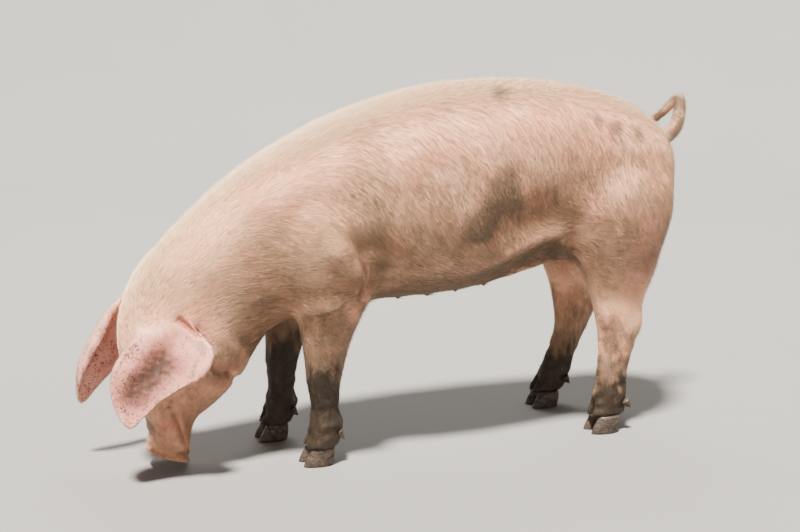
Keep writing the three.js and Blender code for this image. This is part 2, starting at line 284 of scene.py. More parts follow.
def skin_material():
    """Living pig skin: thin, pink and slightly see-through, so light spreads softly under it.
    It is paler in patches, pink on the ears, redder in folds, and finely wrinkled. Painted shade darkens it
    in creases, hollows and where it turns down or back."""
    made, tree, shader = new_material("pig skin")
    where = add(tree, "TexCoord", out="Object")
    patches, mottle, blotch = (
        add(tree, "TexNoise", {"Vector": where, "Scale": 1 / size, "Detail": detail, "Roughness": rough})
        for size, detail, rough in ((90 * MM, 4.0, 0.55), (20 * MM, 4.0, 0.60), (28 * MM, 3.0, 0.55)))
    paler = add(tree, "MapRange", [patches, 0.35, 0.65], **STEP)
    tone = add(tree, "Mix", {0: paler, 6: colour("#e09a7a"), 7: colour("#efb592")}, **BLEND)
    for name, pattern, low, high, least, most, code in (
        ("ear", mottle, 0.35, 0.65, 0.50, 0.95, "#f2b1a6"),
        ("tan", blotch, 0.30, 0.65, 0.35, 1.00, "#a07a5f"),
        ("blush", blotch, 0.20, 0.70, 0.60, 1.00, "#d0695c"),
    ):
        mark = add(tree, "Attribute", out="Fac", attribute_name=name)
        uneven = add(tree, "MapRange", [pattern, low, high, least, most], **STEP)
        share = add(tree, "Math", [mark, uneven], **TIMES)
        tone = add(tree, "Mix", {0: share, 6: tone, 7: colour(code)}, **BLEND)
    # painted shade, from the field that the markings lay in creases, hollows and on surfaces turned down
    shade = add(tree, "Attribute", out="Fac", attribute_name="shade")
    tone = add(tree, "Mix", {0: shade, 6: tone, 7: colour("#4a2c26")}, **BLEND)
    tone, caked, lumps, grit = marked(tree, where, tone, "#574634", "#221609")
    # wrinkles 2 to 4 mm apart, drawn a little coarser than real so that they show
    creases = add(tree, "TexVoronoi", {"Vector": where, "Scale": 1 / (4 * MM)}, feature="SMOOTH_F1")
    relief = add(tree, "Math", [creases, 0.5, grit], **TIMES_PLUS)
    crust = add(tree, "Math", [lumps, 3.0], **TIMES)
    relief = add(tree, "Math", [caked, crust, relief], **TIMES_PLUS)
    feed(tree, shader, {
        "Base Color": tone,
        "Roughness": add(tree, "MapRange", [lumps, 0.3, 0.7, 0.52, 0.7], **STEP),
        "IOR": 1.42,
        "Subsurface Weight": 0.1,
        "Subsurface Radius": (1.0, 0.35, 0.2),
        "Subsurface Scale": 5 * MM,
        "Normal": add(tree, "Bump", {"Height": relief, "Strength": 0.5, "Distance": 0.9 * MM}),
    })
    return made


def bristle_material():
    """Pig bristle: coarse, solid and cream coloured, a little glossy along its length.
    The root is warmer and the tip paler. It carries the skin's dirt, painted shade and mud."""
    made, tree, shader = new_material("cream bristle")
    where = add(tree, "Attribute", out="Vector", attribute_name="root")
    tip, tint, tan, shade, blush = (
        add(tree, "Attribute", out="Fac", attribute_name=name)
        for name in ("tip", "tint", "tan", "shade", "blush"))
    tone = colour("#dba47c")
    for share, code in (
        (tip, "#ffeabf"),
        (add(tree, "MapRange", [tint, 0.4, 1.0, 0.0, 0.55], **STEP), "#cc916c"),
        (add(tree, "Math", [tan, 0.8], **TIMES), "#e0bd8c"),
        # painted shade, as on the skin under the tuft
        (add(tree, "Math", [shade, 0.9], **TIMES), "#5d3d2e"),
        (add(tree, "Math", [blush, 0.6], **TIMES), "#dc8c77"),
    ):
        tone = add(tree, "Mix", {0: share, 6: tone, 7: colour(code)}, **BLEND)
    tone, *_ = marked(tree, where, tone, "#675642", "#271a0e")
    feed(tree, shader, {"Base Color": tone, "Roughness": 0.5, "IOR": 1.55})
    return made


def horn_material():
    """Hoof horn: hard, dense keratin in rings of growth, scuffed dull and packed with dried mud."""
    made, tree, shader = new_material("muddy hoof horn")
    where = add(tree, "TexCoord", out="Object")
    level = add(tree, "Mapping", {"Vector": where, "Scale": (0.3, 0.3, 1)})
    rings, lumps = (
        add(tree, "TexNoise", {"Vector": place, "Scale": 1 / size, "Detail": 4.0, "Roughness": rough})
        for place, size, rough in ((level, 3 * MM, 0.55), (where, 12 * MM, 0.65)))
    tone = colour("#33261b")
    for pattern, low, high, code in ((rings, 0.35, 0.65, "#4b3b2b"), (lumps, 0.42, 0.58, "#2a1e14")):
        share = add(tree, "MapRange", [pattern, low, high], **STEP)
        tone = add(tree, "Mix", {0: share, 6: tone, 7: colour(code)}, **BLEND)
    relief = add(tree, "Math", [rings, lumps], operation="ADD")
    feed(tree, shader, {
        "Base Color": tone,
        "Roughness": add(tree, "MapRange", [lumps, 0.35, 0.65, 0.42, 0.8], **STEP),
        "IOR": 1.54,
        "Normal": add(tree, "Bump", {"Height": relief, "Strength": 0.6, "Distance": 1.2 * MM}),
    })
    return made


def eye_material():
    """A living eye: hazel iris with fine spokes and a broad black pupil, under a wet clear coat."""
    made, tree, shader = new_material("wet eyeball")
    turn = add(tree, "Attribute", out="Fac", attribute_name="off_centre")
    # this field changes fast round the pupil and slowly outwards, which draws the noise into spokes
    spokes = add(tree, "Attribute", out="Vector", attribute_name="spoke")
    spokes = add(tree, "TexNoise", {"Vector": spokes, "Scale": 1 / 0.06, "Detail": 3.0, "Roughness": 0.55})
    brown = add(tree, "MapRange", [spokes, 0.30, 0.7], **STEP)
    veined = add(tree, "MapRange", [spokes, 0.35, 0.7], **STEP)
    white = add(tree, "Mix", {0: veined, 6: colour("#b99a86"), 7: colour("#9c7667")}, **BLEND)
    off_rim = add(tree, "Math", [turn, 0.62], operation="SUBTRACT")
    off_rim = add(tree, "Math", [off_rim], operation="ABSOLUTE")
    tone = colour("#2e1c10")
    for share, over in (
        (brown, colour("#6d4a2b")),
        (add(tree, "MapRange", [turn, 0.60, 0.68], **STEP), white),
        (add(tree, "MapRange", [off_rim, 0.0, 0.06, 0.9, 0.0], **STEP), colour("#140c08")),
        (add(tree, "MapRange", [turn, 0.24, 0.29, 1.0, 0.0], **STEP), colour("#050404")),
    ):
        tone = add(tree, "Mix", {0: share, 6: tone, 7: over}, **BLEND)
    feed(tree, shader, {
        "Base Color": tone, "Roughness": 0.12, "IOR": 1.38, "Coat Weight": 1.0, "Coat Roughness": 0.03})
    return made


# ---- skin ----------------------------------------------------------------------------------
#
# Heights that press or MM turns to metres are in millimetres. Reaches, offsets from a place and the
# heights between which a ramp runs are in metres. The points of a line are shares of a node's box,
# but those of the jowl's fold and the mouth are offsets from the eye.


class Sculpt:
    """A mesh while it is worked: its places, outward directions, edges, and shares of each part."""

    def __init__(self, skin):
        self.skin = skin
        self.reload()

    def reload(self):
        """Reads the mesh again, after its points have changed in number."""
        kept = self.skin.data.attributes
        self.links = read(self.skin.data.edges, "vertices", 2, np.int32)
        self.parts = {name: read(kept[name].data, "value") for name in PARTS if name in kept}
        self.hold(corners(self.skin))

    def hold(self, places):
        """Takes these places as the mesh's own and reads its outward directions."""
        self.places = places
        self.x, self.y, self.z = places.T
        self.out = read(self.skin.data.vertex_normals, "vector", 3)

    def refresh(self, places):
        """Moves the points to these places."""
        set_corners(self.skin, places)
        self.hold(places)

    def move(self, way, amount):
        """Moves each point by its own amount along a direction."""
        self.refresh(self.places + way * amount[:, None])

    def push(self, height):
        """Moves each point out by its height, or in where that is below 0."""
        self.move(self.out, height)

    def press(self, height, line, reach, side, share=1.0):
        """Raises a ridge along a line on one flank, or sinks a groove where height is below 0. Height
        is in millimetres, and share says how much of it each point gets."""
        self.push(height * MM * self.on_side(line, reach, side) * share)

    def smooth(self, rounds, rate):
        """Draws the points towards their neighbours."""
        self.refresh(blurred(self.places, self.links, rounds, rate))

    def of_side(self, side):
        """1 on one side of the pig and 0 on the other."""
        return (self.y * side > 0).astype(float)

    def facing(self, side):
        """How far the surface faces out to one side, from -1 to 1."""
        return self.out[:, 1] * side

    def flank(self, side):
        """1 where the surface faces out to one side, fading to 0 where it turns away."""
        return ramp(self.facing(side), 0.05, 0.45) * self.of_side(side)

    def by_line(self, line, reach):
        """A hill along a line as seen from the side."""
        return hill(to_line(self.places[:, (0, 2)], line), reach)

    def on_side(self, line, reach, side):
        """A hill along a line as seen from the side, on one flank only."""
        return self.by_line(line, reach) * self.flank(side)

    def near(self, point, reach):
        """A hill round a point in space."""
        return hill(np.linalg.norm(self.places - point, axis=1), reach)

    def split(self, chosen):
        """Halves each edge between two chosen points, and cuts the faces beside it to match."""
        mesh = self.skin.data
        choose(self.skin)
        bpy.context.tool_settings.mesh_select_mode = (True, False, False)
        bpy.ops.object.mode_set(mode="EDIT")
        bpy.ops.mesh.select_all(action="DESELECT")
        bpy.ops.object.mode_set(mode="OBJECT")
        loops = read(mesh.loops, "vertex_index", kind=np.int32)
        starts = read(mesh.polygons, "loop_start", kind=np.int32)
        mesh.vertices.foreach_set("select", chosen)
        mesh.edges.foreach_set("select", chosen[self.links].all(axis=1))
        mesh.polygons.foreach_set("select", np.minimum.reduceat(chosen[loops], starts))
        bpy.ops.object.mode_set(mode="EDIT")
        bpy.ops.mesh.subdivide(number_cuts=1, smoothness=0.0)
        bpy.ops.object.mode_set(mode="OBJECT")
        self.reload()


PUFF = 0.8 * MM
PART_ROUNDS = 14


def fused_flesh(voxel):
    """Copies of the nodes of flesh, puffed up so that neighbours overlap, fused into one surface.
    The eyeballs are fused in too, so that the lids can be shaped over them."""
    copies = [copy_of(n, f"flesh {n}") for n in [*FLESH, "eye_left", "eye_right"]]
    for twin in copies:
        finish_modifier(twin, "DISPLACE", strength=PUFF, mid_level=0.0)
    choose(*copies)
    bpy.ops.object.join()
    skin = bpy.context.view_layer.objects.active
    skin.name = "skin"
    finish_modifier(skin, "REMESH", mode="VOXEL", voxel_size=voxel, adaptivity=0.0)
    return skin


def keep_parts(form):
    """Keeps on each vertex its share of each part, from the CAD nodes nearest to it. Upper legs
    count as body, since the coat runs over them from the trunk, and ear roots count as head."""
    points, faces, owner = [], [], []
    for node in FLESH:
        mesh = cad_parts[node].data
        start = len(points)
        points += [v.co for v in mesh.vertices]
        faces += [[start + k for k in p.vertices] for p in mesh.polygons]
        part = next((name for name in PARTS if name in node), "body")
        owner += [PARTS.index(part)] * len(mesh.polygons)
    tree = BVHTree.FromPolygons(points, faces)
    nearest = [owner[tree.find_nearest(v.co)[2]] for v in form.skin.data.vertices]
    shares = blurred(np.eye(len(PARTS))[nearest], form.links, PART_ROUNDS, 0.7)
    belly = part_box("trunk")[0][2]
    moves = [("leg", "body", ramp(form.z, belly - 0.05, belly + 0.09))]
    for side, sign in SIDES.items():
        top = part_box(f"ear_{side}")[1][2]
        moves.append(("ear", "head", ramp(form.z, top - 0.080, top - 0.030) * form.of_side(sign)))
    for source, target, share in moves:
        moved = shares[:, PARTS.index(source)] * share
        shares[:, PARTS.index(target)] += moved
        shares[:, PARTS.index(source)] -= moved
    for name, share in zip(PARTS, shares.T):
        set_field(form.skin, name, share)
    form.reload()


RELAX_ROUNDS = 110
SWELL_ROUNDS = 12


def relax(form):
    """Smooths the facets away: much on the trunk, little where the form is small. Ears, snout and
    tail are smoothed and swelled back by turns, so that they lose the grain but keep their size."""
    p = form.parts
    rate = 0.8 * p["body"] + 0.22 * p["head"] + 0.05 * p["snout"] + 0.02 * p["ear"]
    rate += 0.2 * p["leg"] * ramp(form.z, 0.05, 0.25) + 0.04 * p["leg"] + 0.02 * p["tail"]
    places = blurred(form.places, form.links, RELAX_ROUNDS, rate)
    small = np.clip(p["ear"] + p["snout"] + p["tail"] + p["leg"] + 0.5 * p["head"], 0, 1)
    for _ in range(SWELL_ROUNDS):
        places = blurred(places, form.links, 1, 0.6 * small)
        places = blurred(places, form.links, 1, -0.63 * small)
    form.refresh(places)


ELBOW_CREASE = [(0.45, 0.87), (0.31, 0.79), (0.24, 0.735), (0.22, 0.705), (0.215, 0.675), (0.26, 0.62)]
NECK_HOLLOW = [(1.02, 0.62), (1.02, 0.80), (1.02, 0.98)]
ARM_FOLD = [(0.93, 0.552), (0.76, 0.546), (0.60, 0.563), (0.50, 0.576), (0.43, 0.595)]
CREASE_ROUNDS = 9
ARM_WRINKLES = [
    # start, end, depth in millimetres
    ((0.56, 0.645), (0.44, 0.650), 3.52),
    ((0.47, 0.628), (0.36, 0.640), 3.20),
    ((0.84, 0.505), (0.60, 0.515), 2.24),
    ((0.70, 0.475), (0.45, 0.470), 1.60),
]


def shape_body(form):
    """Shoulder, elbow crease, folds of the foreleg, the web of skin at the flank, ham and loin."""
    for name, side in SIDES.items():
        leg, ham = f"foreleg_{name}", f"hindleg_{name}"
        # the elbow stands out over the belly, which drops back behind a deep crease
        crease = drawn(leg, ELBOW_CREASE)
        behind = np.interp(form.z, crease[::-1, 1], crease[::-1, 0]) - form.x
        reach = ramp(form.z, crease[-1, 1] - 0.02, crease[-1, 1] + 0.01)
        reach *= 1 - ramp(form.z, crease[1, 1], crease[0, 1] + 0.03)
        drop = ramp(behind, -0.003, 0.006) * (1 - ramp(behind, 0.02, 0.13))
        form.push(-15 * MM * drop * reach * form.flank(side))
        deeper = 1 - ramp(form.z, crease[2, 1], crease[0, 1])
        form.press(-9, crease[1:], 0.008, side, deeper)
        form.press(11, crease[3] + [(0.04, 0), (0.07, 0.05)], 0.034, side)
        form.smooth(CREASE_ROUNDS, 0.6 * form.on_side(crease, 0.020, side))
        # the shoulder runs smoothly into the neck ahead of it
        form.press(5, drawn(leg, NECK_HOLLOW), 0.03, side)
        shoulder = drawn(leg, (0.62, 0.80))
        form.press(-4, shoulder + [(-0.09, 0.02), (-0.07, 0.14)], 0.03, side)
        form.press(4, shoulder + [(0, 0.02), (0, 0.14)], 0.045, side)
        # the upper arm hangs over the forearm along one sharp crease, with small folds above it
        fold = drawn(leg, ARM_FOLD)
        over = form.z - np.interp(form.x, fold[::-1, 0], fold[::-1, 1])
        along = ramp(form.x, fold[-1, 0] - 0.01, fold[-1, 0] + 0.02)
        along *= 1 - ramp(form.x, fold[0, 0] - 0.03, fold[0, 0] + 0.005)
        hang = ramp(over, -0.002, 0.004) * (1 - ramp(over, 0.008, 0.06)) * along
        form.push(3.5 * MM * hang * form.flank(side))
        form.press(-6, fold, 0.0035, side)
        for start, end, depth in ARM_WRINKLES:
            form.press(-depth, drawn(leg, (start, end)), 0.0035, side)
        shape_web(form, ham, side)
        # hip, the hollow ahead of it, haunch and ribs
        form.press(5, drawn("trunk", (0.17, 0.74)) + [(0, 0), (-0.02, -0.03)], 0.06, side)
        form.press(-6, drawn("trunk", (0.30, 0.74)) + [(0, 0), (0.02, -0.1)], 0.045, side)
        form.press(6, drawn(ham, (0.22, 0.55)) + [(0, 0), (0.03, 0.07)], 0.05, side)
        form.press(4, drawn("trunk", (0.55, 0.55)) + [(-0.03, 0.1), (0, 0), (0.02, -0.08)], 0.06, side)


WEB_EDGE = [
    (0.335, 0.295), (0.365, 0.282), (0.403, 0.268), (0.477, 0.213),
    (0.527, 0.165), (0.577, 0.127), (0.660, 0.100)]
WEB_HALF = 0.116
THIGH_EDGE = [(0.86, 0.48), (0.89, 0.545), (1.00, 0.64), (1.16, 0.735)]


def shape_web(form, ham, side):
    """The web of skin from flank to stifle: a clear edge, with belly and groin drawn in under it."""
    edge, front = drawn("trunk", WEB_EDGE), drawn(ham, THIGH_EDGE)
    x, y, z = form.places.T
    below = np.interp(x, edge[:, 0], edge[:, 1]) - z
    ahead = x - np.interp(z, front[:, 1], front[:, 0])
    fade = 1 - ramp(x, edge[-4, 0], edge[-1, 0])
    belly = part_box("trunk")[0][2]
    under = ramp(below, -0.002, 0.008) * ramp(ahead, -0.002, 0.010) * fade * form.of_side(side)
    under *= ramp(z, belly - 0.06, belly - 0.02)
    room = np.maximum(WEB_HALF - 1.05 * below, 0.040)
    form.move([0, -side, 0], np.maximum(np.abs(y) - room, 0) * under)
    ridge = hill(below + 0.014, 0.018) * ramp(ahead, -0.03, 0.0) * fade
    form.push(6 * MM * ridge * form.flank(side))
    form.press(-13, edge[1] + [(0.03, 0.075), (0.13, 0.045)], 0.042, side)
    thigh = hill(ahead + 0.014, 0.014) * ramp(below, 0.0, 0.03) * ramp(z, 0.30, 0.36)
    form.push(4 * MM * thigh * form.flank(side))


KNEE = 190 * MM
HOCK = 262 * MM


def shape_legs(form):
    """Knees, hocks, the tendon behind them, and the cleft foot over its two claws."""
    for name in LEGS:
        mid_x, mid_y, _ = (middle(f"hoof_{name}_inner") + middle(f"hoof_{name}_outer")) / 2
        hoof_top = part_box(f"hoof_{name}_outer")[1][2]
        x, y, z = form.places.T
        mine = form.parts["leg"] * (np.abs(y - mid_y) < 0.07) * (np.abs(x - mid_x) < 0.2)
        ahead, behind = (ramp(way * form.out[:, 0], 0.1, 0.8) for way in (1, -1))
        beside = ramp(np.abs(form.out[:, 1]), 0.4, 0.9)
        if name.startswith("fore"):
            joint, bony, waist = KNEE, ahead, 1.5
        else:
            joint, bony, waist = HOCK, 2 * behind, 5.0
        # the joint stands out, the leg is narrow over and under it, and the foot swells round the
        # fetlock and shrinks into the hooves, with a tendon behind and wrinkles ahead
        bulge = 3.5 * hill(z - joint, 0.030) * bony
        bulge -= waist * hill(z - joint - 0.075, 0.035) * beside
        bulge -= 2.5 * hill(z - joint + 0.065, 0.028) * beside
        bulge += 1.5 * hill(z - 0.095, 0.014) * (beside + behind)
        bulge -= 1.0 * hill(z - hoof_top - 0.030, 0.008) * ahead
        bulge -= 3.4 * ramp(hoof_top + 0.014 - z, 0.0, 0.014)
        tendon = hill(np.abs(y - mid_y) - 0.014, 0.007) * behind * hill(z - joint + 0.07, 0.045)
        wrinkles = np.sin(z / 0.0036) * hill(z - 0.075, 0.02) * ahead * 0.6
        wander = 1.2 * ripple(form.places, 0.03, 12) * ramp(0.3 - z, 0, 0.2)
        form.push((bulge - 2.6 * tendon + wrinkles + wander) * MM * mine)
        # the foot parts between the claws, in front, behind and from below
        gap = hill(form.y - mid_y, 0.006) * ramp(0.090 - z, 0.0, 0.04) * (ahead + 0.8 * behind)
        form.move([1, 0, 0], np.sign(mid_x - form.x) * gap * 0.024 * mine)
        for side in ("inner", "outer"):
            low, high = box(f"dewclaw_{name}_{side}")
            root = np.array([high[0], (low[1] + high[1]) / 2, high[2] - 0.004])
            form.move(root - form.places, 0.55 * form.near(root, 0.011) * mine)


JOWL_FOLD = [(-0.120, -0.010), (-0.140, -0.030), (-0.158, -0.045), (-0.182, -0.056)]
MOUTH = [(-0.088, -0.238), (-0.084, -0.216), (-0.074, -0.180), (-0.064, -0.152), (-0.058, -0.136)]


def shape_head(form):
    """Lids, cheek, jowl, lips, the furrow down the nose, and the ears, placed from the eyes."""
    for side, sign in SIDES.items():
        ball = middle(f"eye_{side}")
        eye = ball[[0, 2]]
        shape_eye(form, ball, sign)
        # cheek over the jaw, the hollow ahead of it, and the jowl's fold under the throat
        form.press(6, eye + [(-0.105, 0), (-0.135, 0.05)], 0.042, sign)
        form.push(-4 * MM * form.near(ball + [-0.04, 0, -0.055], 0.03))
        fold = eye + JOWL_FOLD
        form.press(5, fold + [0.020, -0.022], 0.022, sign)
        form.press(4, fold + [-0.022, 0.014], 0.02, sign)
        form.press(-8, fold, 0.007, sign)
        # the mouth runs up the side of the muzzle to a dimple, with a lip each side of it
        mouth = eye + MOUTH
        form.press(-4, mouth, 0.003, sign, ramp(form.z, mouth[0, 1] - 0.004, mouth[1, 1]))
        form.press(2.4, mouth + [0.011, 0], 0.009, sign)
        form.press(1.6, mouth - [0.010, 0], 0.008, sign)
        form.press(-2.5, mouth[-1:], 0.009, sign)
        form.press(3.5, mouth[[1, 3]] + [(0.018, 0), (0.020, 0)], 0.013, sign)
        # furrow from the eye down the side of the nose
        form.press(-3.5, eye + [(0, -0.05), (0.035, -0.15)], 0.012, sign)
        shape_ear(form, side, sign)
    # the throat is nicked where the jowl ends
    throat = middle("eye_left")[[0, 2]] + JOWL_FOLD[-1]
    nick = form.by_line(throat + [(0.01, 0.01), (-0.02, -0.02)], 0.009)
    form.push(-7 * MM * nick * ramp(-form.out[:, 2], 0.0, 0.5) * (form.parts["ear"] < 0.1))


EAR_TROUGH = [(0.30, 0.72), (0.48, 0.52), (0.60, 0.42), (0.76, 0.28)]
EAR_NOTCH = [(0.12, 0.74), (0.20, 0.80), (0.29, 0.87)]
EAR_ROOT_ROUNDS = 110
EAR_RIM_ROUNDS = 10
EAR_VEINS = [
    [(0.42, 0.92), (0.50, 0.45)],
    [(0.36, 0.90), (0.22, 0.62)],
    [(0.50, 0.45), (0.72, 0.20)],
    [(0.50, 0.50), (0.35, 0.38)],
]


def shape_ear(form, side, sign):
    """The ear's hollow, which bends both its faces alike, its notch, rim, and the veins on its back."""
    node = f"ear_{side}"
    low, high = box(node)
    mine = form.of_side(sign)
    ear = form.parts["ear"] * mine
    # the root runs into the head without a step
    root = mine * ramp(form.z, high[2] - 0.085, high[2] - 0.040)
    root *= ramp(form.x, low[0] - 0.05, low[0]) * ramp(high[2] + 0.06 - form.z, 0, 0.03)
    root *= ramp(form.facing(sign), -0.3, 0.1) * ramp(np.abs(form.y), 0.05, 0.07)
    form.smooth(EAR_ROOT_ROUNDS, 0.8 * root)
    dip = form.by_line(drawn(node, EAR_TROUGH), 0.032)
    edge = ear * ramp(1 - np.abs(form.out[:, 1]), 0.3, 0.8)
    rim = blurred(edge[:, None], form.links, EAR_RIM_ROUNDS, 0.8)[:, 0]
    ruck = 0.12 * ripple(form.places * [1, 0, 1], 0.05, 15 + sign)
    form.move([0, sign, 0], (9 * rim - 9 * dip - 6 * ruck) * MM * ear)
    outside = ramp(form.facing(sign), 0.0, 0.5) * mine
    form.push(-9 * MM * form.by_line(drawn(node, EAR_NOTCH), 0.006) * outside)
    for vein in EAR_VEINS:
        form.push(0.9 * MM * form.by_line(drawn(node, vein), 0.0035) * outside * ear)


EYE_RADIUS = 13 * MM
LID = 1.6 * MM
LID_GAP = 13 * MM
LID_LENGTH = 27 * MM


def gaze_of(sign):
    """The way an eye looks: out to its own side, and a little ahead."""
    return unit(np.array([0.34, 0.94 * sign, 0.05]))


def shape_eye(form, ball, sign):
    """Lids closed over a ball of the eye's size, parted by an almond slit, with folds round them."""
    gaze = gaze_of(sign)
    slit = unit(np.array([-0.22, 0.0, 0.97]))
    slit = unit(slit - gaze * (slit @ gaze))
    lift = np.cross(slit, gaze) * sign
    offset = form.places - ball
    reach = np.linalg.norm(offset, axis=1)
    along, over = offset @ slit, offset @ lift
    facing = offset @ gaze > 0
    # the socket is drawn in round a raised ring, before the lids go over the ball
    form.push((3.5 * hill(reach - 0.034, 0.010) - 3.0 * hill(reach - 0.022, 0.006)) * facing * MM)
    offset = form.places - ball
    reach = np.linalg.norm(offset, axis=1)
    near_ball = facing * ramp(0.021 - reach, 0.0, 0.003)
    open_half = LID_GAP / 2 * np.clip(1 - (along / LID_LENGTH * 2) ** 2, 0, 1)
    parted = near_ball * (np.abs(over - 0.0008) < open_half)
    lid = np.where(parted > 0, EYE_RADIUS - 3.5 * MM, np.maximum(reach, EYE_RADIUS + LID))
    lid += 1.2 * MM * np.sin(over / 0.0011) * hill(over - 0.013, 0.006) * near_ball
    target = ball + offset / reach[:, None] * lid[:, None]
    form.move(target - form.places, near_ball)


DISC_ROUNDS = 6
# how far up the disc a nostril lies and how far from the middle, and half its height and its width
NOSTRIL = (4 * MM, 17.5 * MM)
NOSTRIL_HALF = (10.5 * MM, 7.2 * MM)


def shape_snout(form):
    """The disc's rim and groove, its two nostrils, and the wrinkles over the bridge."""
    low, high = box("snout")
    # the disc is tilted, its lower edge behind and its upper edge ahead
    disc_back = np.array([low[0] + 0.006, 0, low[2]])
    disc_top = np.array([high[0] - 0.004, 0, low[2] + 0.031])
    centre = (disc_back + disc_top) / 2
    across = unit(disc_top - disc_back)
    up = np.array([-across[2], 0, across[0]])
    form.split(np.linalg.norm(form.places - centre, axis=1) < 0.085)
    offset = form.places - centre
    height, run, y = offset @ up, offset @ across, form.y
    form.smooth(DISC_ROUNDS, 0.4 * (np.linalg.norm(offset, axis=1) < 0.08))
    radius = np.hypot(run, y)
    # the rim and its groove, and the wrinkles behind them, run round the wall of the snout
    near = ramp(0.12 - height, 0, 0.03) * ramp(0.075 - radius, 0, 0.01) * ramp(radius, 0.03, 0.042)
    radial = unit(np.stack([run, y], 1))
    outwards = radial[:, :1] * across + radial[:, 1:] * np.array([0, 1, 0])
    ahead = ramp(run, -0.03, 0.02)
    height = height + 0.0022 * ripple(form.places, 0.045, 31)
    ring = 3.4 * hill(height - 0.005, 0.005) - 3.0 * hill(height - 0.016, 0.005)
    ring += 1.2 * hill(height - 0.026, 0.006) - 2.8 * hill(height - 0.041, 0.0045) * ahead
    ring += 1.0 * hill(height - 0.052, 0.008) * ahead - 1.2 * hill(height - 0.064, 0.004) * ahead
    ring += 0.8 * np.sin(height / 0.003) * hill(height - 0.085, 0.022) * ramp(run, 0.0, 0.03)
    form.move(outwards, ring * MM * near)
    # the face of the disc has two nostrils, a dished middle, an upright furrow and a fine grain
    height = (form.places - centre) @ up
    face = ramp(0.014 - height, 0, 0.010)
    for sign in SIDES.values():
        oval = np.hypot((y - sign * NOSTRIL[1]) / NOSTRIL_HALF[1], (run - NOSTRIL[0]) / NOSTRIL_HALF[0])
        form.move(up, 15 * MM * ramp(1.3 - oval, 0, 0.5) * ramp(0.02 - height, 0, 0.012))
        form.move(up, -1.6 * MM * hill(oval - 1.55, 0.35) * face)
    dish = 1.5 * hill(radius - 0.030, 0.010) - 0.9 * hill(radius, 0.012)
    line = 2.0 * hill(y, 0.003) * ramp(-run, 0.005, 0.03)
    grain = 0.25 * ripple(form.places, 0.006, 30)
    form.move(up, (dish + line + grain) * face * MM)


TEAT_PAIRS = 7
TEAT_SPACING = 72 * MM
TEAT_ROW = 48 * MM


def shape_belly(form):
    """Two rows of teats under the belly, and the folds under the tail."""
    x, y, z = form.places.T
    under = ramp(-form.out[:, 2], 0.35, 0.7)
    first = drawn("foreleg_left", (0.1, 0))[0] - 0.02
    for pair in range(TEAT_PAIRS):
        for sign in SIDES.values():
            reach = np.hypot(x - (first - pair * TEAT_SPACING), y - sign * TEAT_ROW)
            teat = 8 * hill(reach, 0.0042) + 2.5 * hill(reach, 0.016)
            form.move([0, 0.2 * sign, -1.0], under * teat * MM)
    rear = np.array([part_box("trunk")[0][0], 0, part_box("tail")[0][2]])
    back = ramp(-form.out[:, 0], 0.2, 0.7) * (form.parts["tail"] < 0.3)
    form.push(-7 * MM * back * form.near(rear + [0.004, 0, -0.032], 0.011))
    form.push(6 * MM * back * form.near(rear + [0.006, 0, -0.088], 0.021))
    form.push(-4 * MM * back * hill(y, 0.0028) * hill(z - rear[2] + 0.088, 0.018))
    form.push(-5 * MM * back * hill(y, 0.012) * hill(z - rear[2] + 0.19, 0.07))


def coat_depth(form):
    """How far the skin lies inside the solid model: the coat's depth, least on ears and feet.
    The tail is built up instead, since it thins when it is smoothed."""
    p = form.parts
    depth = 3.0 * p["body"] + 2.2 * p["head"] + 1.2 * p["snout"] + 0.7 * p["ear"] - 4.2 * p["tail"]
    depth += p["leg"] * (0.6 + 2.0 * ramp(form.z, 0.1, 0.35))
    form.push(-(depth * MM + PUFF * (1 - 0.6 * p["ear"] - p["tail"])))


MUD_LINES = {
    # leg: height of the mud, how ragged, its slope ahead, height of the film over it
    "foreleg_left": (0.215, 0.020, 0.10, 0.44),
    "foreleg_right": (0.238, 0.030, -0.25, 0.42),
    "hindleg_left": (0.125, 0.026, 0.05, 0.30),
    "hindleg_right": (0.145, 0.022, 0.05, 0.40),
}
GRIME = {
    # node and side: share ahead, share up, reach, strength
    ("trunk", 1): [
        (0.496, 0.947, 0.022, 0.95), (0.255, 0.828, 0.022, 0.85), (0.215, 0.789, 0.028, 0.85),
        (0.153, 0.755, 0.032, 0.80), (0.126, 0.607, 0.050, 0.50), (0.300, 0.330, 0.050, 0.45),
        (0.550, 0.400, 0.080, 0.32)],
    ("trunk", -1): [(0.60, 0.90, 0.030, 0.60), (0.33, 0.55, 0.070, 0.60), (0.75, 0.40, 0.060, 0.50)],
    ("hindleg_left", 1): [
        (0.80, 0.83, 0.034, 0.45), (0.35, 0.75, 0.080, 0.42),
        (0.66, 0.53, 0.024, 0.60), (0.68, 0.37, 0.042, 0.80)],
    ("hindleg_right", -1): [(0.80, 0.375, 0.036, 0.85)],
    ("foreleg_left", 1): [(0.60, 0.42, 0.055, 0.85)],
    ("neck", 1): [(0.45, 0.62, 0.018, 0.40)],
    ("head", 1): [(0.30, 0.45, 0.075, 0.75)],
    ("head", -1): [(0.30, 0.45, 0.075, 0.60)],
    ("ear_left", 1): [(0.36, 0.06, 0.008, 0.90), (0.30, 0.14, 0.014, 0.50)],
}
# a dark patch on the near flank ahead of the thigh, as shares of the trunk's box
FLANK_DARK_PATCH = [(0.50, 0.53), (0.50, 0.49), (0.545, 0.44), (0.575, 0.37)]
BLUSH = {
    # node: share ahead, share up, reach, strength
    "trunk": [(0.423, 0.532, 0.030, 0.45), (0.288, 0.405, 0.080, 0.28)],
    "foreleg_left": [(0.385, 0.68, 0.045, 0.45)],
    "neck": [(0.76, 0.33, 0.060, 0.55), (0.46, 0.42, 0.075, 0.36), (0.33, 0.79, 0.060, 0.30)],
    "hindleg_left": [(0.35, 0.66, 0.100, 0.42)],
}


